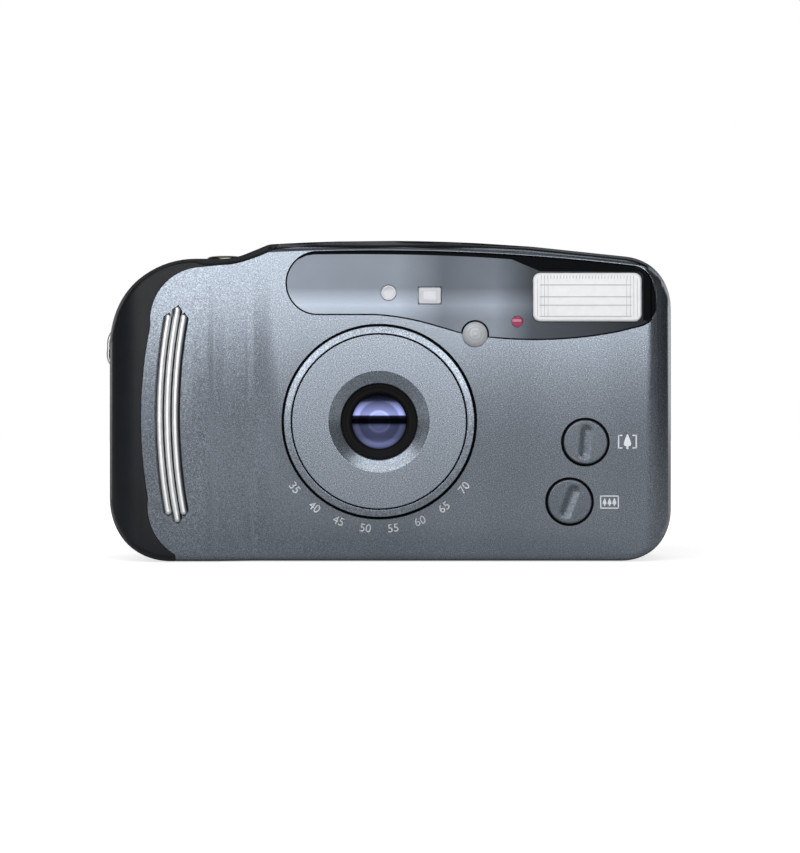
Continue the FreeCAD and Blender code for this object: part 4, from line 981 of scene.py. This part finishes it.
def tree_sign(spot, scale):
    """Small fir tree."""
    right = [(0.14, -1.0), (0.14, -0.62), (0.4, -0.55), (0.5, -0.35), (0.42, 0.05), (0.26, 0.5), (0.1, 0.9)]
    left = [(-x, z) for x, z in reversed(right)]
    return flat_shape("tree", [left[-1]] + right + [(0.0, 1.0)] + left[:-1], spot, scale)


def flat_bar(spot, width, height):
    w, h = width / 2, height / 2
    return flat_shape("line", [(-w, -h), (w, -h), (w, h), (-w, h)], spot)


def frame_bars(spot, half_height, line, gap=0.0):
    """Outline of a picture frame; a gap leaves the middles of its long sides open."""
    half_width = 1.9
    x, z = spot
    reach = half_width - gap
    bars = []
    for side in (-1, 1):
        height = z + side * half_height
        bars.append(flat_bar((x + side * half_width, z), line, 2 * half_height + line))
        if gap:
            bars += [flat_bar((x + end * (half_width - reach / 2), height), reach, line) for end in (-1, 1)]
        else:
            bars.append(flat_bar((x, height), 2 * half_width, line))
    return bars


def tele_picture():
    return frame_bars(TELE_PICTURE_SPOT, 1.35, 0.26, 1.1) + [tree_sign(TELE_PICTURE_SPOT, 1.6)]


def wide_picture():
    x, z = WIDE_PICTURE_SPOT
    trees = [tree_sign((x + shift, z), 0.85) for shift in (-1.05, 0.0, 1.05)]
    return frame_bars(WIDE_PICTURE_SPOT, 1.3, 0.24) + trees


# Top, back and base

def build_fittings():
    build_display()
    build_screws()
    build_back()
    build_ridges()
    build_socket()


def build_display():
    """Digits of the frame counter under the top window."""
    size = extent("lcd_module")
    mesh = number_mesh("24", 6.0)
    mesh.transform(Matrix.Rotation(-math.pi / 2, 4, "X"))
    mesh.transform(Matrix.Translation(mm(*size.middle.xy, size.high.z)))
    fit(new_object("frame_count", mesh), "camera_body", "grip_dark")


def build_screws():
    """Cross-head screws in the base."""
    base = extent("body_screws").low.z
    places = [(x, y, base) for x, y in ((-24.0, 12.0), (12.0, 12.0), (48.0, 11.0), (48.0, 0.0))]
    profile = eased([(0.0, 1.2), (1.35, 1.2), (1.35, 0.12), (1.0, 0.0), (0.0, 0.0)], 0.12)
    head = turned("screw_head", profile, level(0.0, 0.0), 32)
    fit(repeated("base_screws", head, places, "steel"), "camera_body", "steel")
    slots = []
    for width, height in ((1.5, 0.34), (0.34, 1.5)):
        outline = rounded_outline(width / 2, height / 2, 0.1, 3)
        slots.append(layered("slot", [(outline, 0.05), (outline, -0.02)], level(0.0, 0.0)))
    fit(repeated("screw_slots", join("cross", slots), places, "gap_black"), "camera_body", "gap_black")


def build_back():
    """Surround of the eyepiece, lines round the door's window and pad, grip lines at its free edge."""
    size = extent("viewfinder_eyepiece")
    half, back = size.half, size.high.y
    radius, wall = 0.6, 0.9
    outer = rounded_outline(half.x, half.z, radius)
    lip = rounded_outline(half.x - wall / 3, half.z - wall / 3, radius)
    inner = rounded_outline(half.x - wall, half.z - wall, radius * 0.7)
    surround = layered("eyepiece_surround", [(outer, back), (outer, REAR_Y), (lip, REAR_Y), (inner, back)],
                       upright(*size.middle.xz), through=True)
    fit(surround, "camera_body", "seal_foam")
    size = extent("film_door_window")
    lines = [line_frame(size.half.x, size.half.z, 0.3, size.middle.xz),
             line_frame(50.0, 21.0, 3.0, (-1.0, 29.5))]
    fit(join("door_lines", lines), "film_door", "gap_black")
    spots = [(53.4, REAR_Y - 0.2, 29.5 + 2.0 * step) for step in range(-5, 6)]
    fit(repeated("door_grip", bar("grip_line", 4.4, 0.7, 0.18), spots, "gap_black"), "film_door", "gap_black")


def line_frame(half_width, half_height, radius, spot):
    """Rounded rectangular line, as a cord sunk in the back."""
    place, depth, width = upright(*spot), REAR_Y - 0.27, 0.6
    spots = [place(a, b, depth) for a, b in rounded_outline(half_width, half_height, radius)]
    return corded(wire("line", spots, loop=True), width / 2, "gap_black")


def build_ridges():
    """Ridges on the door latch and on the battery door, to push them by."""
    size = extent("door_latch")
    spots = [(size.high.x - 0.13, size.middle.y, 30.0 + 1.6 * step) for step in range(-3, 4)]
    ridges = repeated("latch_ridges", ridge(2.4, endwise(0.0, 0.0)), spots, "gap_black")
    fit(ridges, "door_latch", "gap_black")
    size = extent("battery_door")
    spots = [(size.high.x - 4.2, size.middle.y + 1.5 * step, size.low.z + 0.02) for step in range(-3, 4)]
    ridges = repeated("hatch_ridges", ridge(5.6, level(0.0, 0.0)), spots, "button_black")
    fit(ridges, "battery_door", "button_black")


def build_socket():
    """Thread of the tripod socket, drawn as rings at its pitch."""
    bore, crest, pitch, turns = 2.62, 2.42, 1.27, 4
    first, last = 0.6, 0.7 + pitch * turns
    profile = [(bore + 0.1, 0.5), (bore, 0.5)]
    for turn in range(turns):
        start = first + pitch * turn
        profile += [(bore, start + 0.2), (crest, start + pitch / 2), (bore, start + pitch - 0.2)]
    profile += [(bore, last), (bore + 0.1, last)]
    fit(turned("socket_thread", profile, level(0.0, 0.0), 48), "camera_body", "socket_metal")


# Stage

def build_stage(view):
    """White floor and room, two soft lights and the camera of the photograph."""
    bpy.context.scene.view_settings.view_transform = "Standard"
    reach, drop = 4.0, 0.0002
    floor_mesh = bpy.data.meshes.new("studio_floor")
    corners = [(-reach, -reach, 0), (reach, -reach, 0), (reach, reach, 0), (-reach, reach, 0)]
    floor_mesh.from_pydata(corners, [], [(0, 1, 2, 3)])
    floor = new_object("studio_floor", floor_mesh)
    floor.location.z = -drop
    floor_mesh.materials.append(white_surface())
    build_world()
    power = view.light_power
    area_light("strip", (-0.06, -0.45, 0.124), (-0.06, 0.0, 0.05), (0.6, 0.12), 0.82 * power)
    area_light("overhead", (-0.1, -0.45, 0.55), (0.0, 0.0, 0.03), (0.9, 0.45), 2.7 * power)
    build_camera(view)


def white_surface():
    """White floor with a soft shadow near the object; to the camera it fades to pure white."""
    material = bpy.data.materials.new("studio_white")
    material.use_nodes = True
    tree = material.node_tree
    reach = add_node(tree, "ShaderNodeVectorMath", {0: object_place(tree)}, operation="LENGTH")
    glow = spread(tree, reach.outputs["Value"], 0.07, 0.15, 0.72, 1.0, interpolation_type="SMOOTHSTEP")
    dress(material, {"Base Color": (*grey(0.6), 1.0), "Roughness": 0.9, "Specular IOR Level": 0.1,
                     "Emission Color": (*grey(1.0), 1.0),
                     "Emission Strength": calculate(tree, "MULTIPLY", glow, seen_by_camera(tree, 0.16))})
    return material


def seen_by_camera(tree, gloss):
    """1 for what the camera sees, straight or through glass, and gloss for what shows in metal."""
    path = tree.nodes.new("ShaderNodeLightPath").outputs
    shine = calculate(tree, "MULTIPLY", path["Is Glossy Ray"], gloss)
    straight = calculate(tree, "MAXIMUM", path["Is Camera Ray"], path["Is Transmission Ray"])
    return calculate(tree, "MAXIMUM", straight, shine)


def build_world():
    """White behind the object; before it a plain dim room."""
    world = bpy.data.worlds.new("studio")
    bpy.context.scene.world = world
    world.use_nodes = True
    tree = world.node_tree
    split = add_node(tree, "ShaderNodeSeparateXYZ", {"Vector": object_place(tree)})
    room = tones(world, spread(tree, split.outputs["Y"], -1.0, 1.0), grey(1.0),
                 [(0.0, 0.22), (0.12, 0.17), (0.4, 0.04), (0.55, 0.06), (0.7, 0.15), (0.85, 0.8), (1.0, 1.0)])
    view = add_node(tree, "ShaderNodeMix",
                    {"Factor": seen_by_camera(tree, 0.0), 6: room, 7: (*grey(1.0), 1.0)}, data_type="RGBA")
    feed(tree, tree.nodes["Background"], {"Color": view.outputs[2]})


def aimed(name, data, spot, aim):
    """Light or camera at a spot, turned to what it looks at."""
    item = new_object(name, data)
    item.location = spot
    item.rotation_euler = (Vector(aim) - Vector(spot)).to_track_quat("-Z", "Y").to_euler()
    return item


def area_light(name, spot, aim, size, power):
    light = bpy.data.lights.new(name, "AREA")
    light.shape = "RECTANGLE"
    light.size, light.size_y = size
    light.energy = power
    aimed(name, light, spot, aim)


def build_camera(view):
    """Camera of the photograph, straight ahead of the object unless its view is turned."""
    data = bpy.data.cameras.new("photo_camera")
    data.sensor_width = 36.0
    data.lens = view.focal_length
    data.clip_start = 0.05
    aim = mm(4.45, 0.0, 28.95)
    turn, lift = view.azimuth, view.elevation
    away = Vector((math.sin(turn) * math.cos(lift), -math.cos(turn) * math.cos(lift), math.sin(lift)))
    bpy.context.scene.camera = aimed("photo_camera", data, aim + away * view.distance, aim)


# Settings that a user would change

def color_setting(name, description, default):
    return FloatVectorProperty(name=name, description=description, subtype="COLOR", size=3, min=0.0, max=1.0,
                               default=default)


def size_setting(name, description, default, low, high):
    return FloatProperty(name=name, description=description + ", in mm", default=default, min=low, max=high)


class FinishColors(bpy.types.PropertyGroup):
    """Colours of the finishes that show most"""
    paint: color_setting("Front paint", "Colour of the metallic paint", (0.19, 0.215, 0.25))
    shell: color_setting("Rear shell", "Colour of the black moulding", (0.007, 0.008, 0.011))
    smoke: color_setting("Window panel", "Colour of the smoked sheet", (0.075, 0.085, 0.1))
    metal: color_setting("Grip rods", "Colour of the bright metal", (0.8, 0.81, 0.82))
    release: color_setting("Shutter button", "Colour of the shutter button", (0.55, 0.56, 0.48))
    lamp: color_setting("Self-timer lamp", "Colour of the small red lamp", (0.45, 0.03, 0.13))


class FrontSizes(bpy.types.PropertyGroup):
    """Sizes of the lens and the grip rods"""
    collar_radius: size_setting("Lens ring radius", "Outside of the ring round the lens", 20.3, 15.0, 25.0)
    collar_bore: size_setting("Lens ring bore", "Inside of the ring round the lens", 18.8, 14.0, 24.0)
    barrel_radius: size_setting("Barrel radius", "Radius of the moving lens barrel", 18.5, 14.0, 24.0)
    rib_half_height: size_setting("Rod half height", "Half height of the middle grip rod", 23.1, 10.0, 30.0)


class StageView(bpy.types.PropertyGroup):
    """View and light of the stage"""
    distance: FloatProperty(name="Distance", description="From the camera to the middle of the object",
                            default=0.5, min=0.1, unit="LENGTH")
    focal_length: FloatProperty(name="Focal length", description="In millimetres on a 36 mm sensor",
                                default=94.5, min=10.0)
    azimuth: FloatProperty(name="Azimuth", description="Turn of the view from straight ahead",
                           default=0.0, subtype="ANGLE")
    elevation: FloatProperty(name="Elevation", description="Height of the view above level",
                             default=0.0, subtype="ANGLE")
    light_power: FloatProperty(name="Light", description="Share of the studio light", default=1.0, min=0.0)


# Steps, in the order in which they run

class CAMERA_OT_finishes(bpy.types.Operator):
    """Make the finishes and give every node its own"""
    bl_idname = "film_camera.finishes"
    bl_label = "Finishes"

    def execute(self, context):
        build_finishes(context.scene.camera_colors)
        dress_nodes()
        return {"FINISHED"}


class CAMERA_OT_shells(bpy.types.Operator):
    """Moulded covers, doors, window panel and strap eyelet"""
    bl_idname = "film_camera.shells"
    bl_label = "Shells"

    def execute(self, context):
        build_shells()
        return {"FINISHED"}


class CAMERA_OT_lens(bpy.types.Operator):
    """Ring, barrel, cell and front element of the lens"""
    bl_idname = "film_camera.lens"
    bl_label = "Lens"

    def execute(self, context):
        build_lens(context.scene.camera_sizes)
        return {"FINISHED"}


class CAMERA_OT_windows(bpy.types.Operator):
    """Windows, lamp, dome and flash on the front"""
    bl_idname = "film_camera.windows"
    bl_label = "Windows"

    def execute(self, context):
        build_windows()
        return {"FINISHED"}


class CAMERA_OT_ribs(bpy.types.Operator):
    """Bright rods on the grip"""
    bl_idname = "film_camera.ribs"
    bl_label = "Grip rods"

    def execute(self, context):
        build_rods(context.scene.camera_sizes)
        return {"FINISHED"}


class CAMERA_OT_keys(bpy.types.Operator):
    """Zoom keys and the buttons on top"""
    bl_idname = "film_camera.keys"
    bl_label = "Keys"

    def execute(self, context):
        build_keys()
        return {"FINISHED"}


class CAMERA_OT_signs(bpy.types.Operator):
    """Plain numbers round the lens and small pictures beside the zoom keys"""
    bl_idname = "film_camera.signs"
    bl_label = "Signs"

    def execute(self, context):
        build_signs()
        return {"FINISHED"}


class CAMERA_OT_fittings(bpy.types.Operator):
    """Display, screws, back, ridges and tripod thread"""
    bl_idname = "film_camera.fittings"
    bl_label = "Fittings"

    def execute(self, context):
        build_fittings()
        return {"FINISHED"}


class CAMERA_OT_stage(bpy.types.Operator):
    """White studio with soft light and the view of the photograph"""
    bl_idname = "film_camera.stage"
    bl_label = "Stage"

    def execute(self, context):
        build_stage(context.scene.camera_stage)
        return {"FINISHED"}


STEPS = (CAMERA_OT_finishes, CAMERA_OT_shells, CAMERA_OT_lens, CAMERA_OT_windows, CAMERA_OT_ribs,
         CAMERA_OT_keys, CAMERA_OT_signs, CAMERA_OT_fittings, CAMERA_OT_stage)


class CAMERA_PT_panel(bpy.types.Panel):
    """Settings and steps of the film camera"""
    bl_idname = "CAMERA_PT_panel"
    bl_label = "Film camera"
    bl_space_type = "VIEW_3D"
    bl_region_type = "UI"
    bl_category = "Film camera"

    def draw(self, context):
        for group in (context.scene.camera_colors, context.scene.camera_sizes, context.scene.camera_stage):
            box = self.layout.box()
            for name in group.__annotations__:
                box.prop(group, name)
        for step in STEPS:
            self.layout.operator(step.bl_idname)


GROUPS = (FinishColors, FrontSizes, StageView)


def register():
    for item in GROUPS + STEPS + (CAMERA_PT_panel,):
        bpy.utils.register_class(item)
    bpy.types.Scene.camera_colors = PointerProperty(type=FinishColors)
    bpy.types.Scene.camera_sizes = PointerProperty(type=FrontSizes)
    bpy.types.Scene.camera_stage = PointerProperty(type=StageView)


def unregister():
    for name in ("camera_colors", "camera_sizes", "camera_stage"):
        delattr(bpy.types.Scene, name)
    for item in reversed(GROUPS + STEPS + (CAMERA_PT_panel,)):
        bpy.utils.unregister_class(item)


def main():
    register()
    for step in STEPS:
        group, name = step.bl_idname.split(".")
        getattr(getattr(bpy.ops, group), name)()


if __name__ == "__main__":
    main()
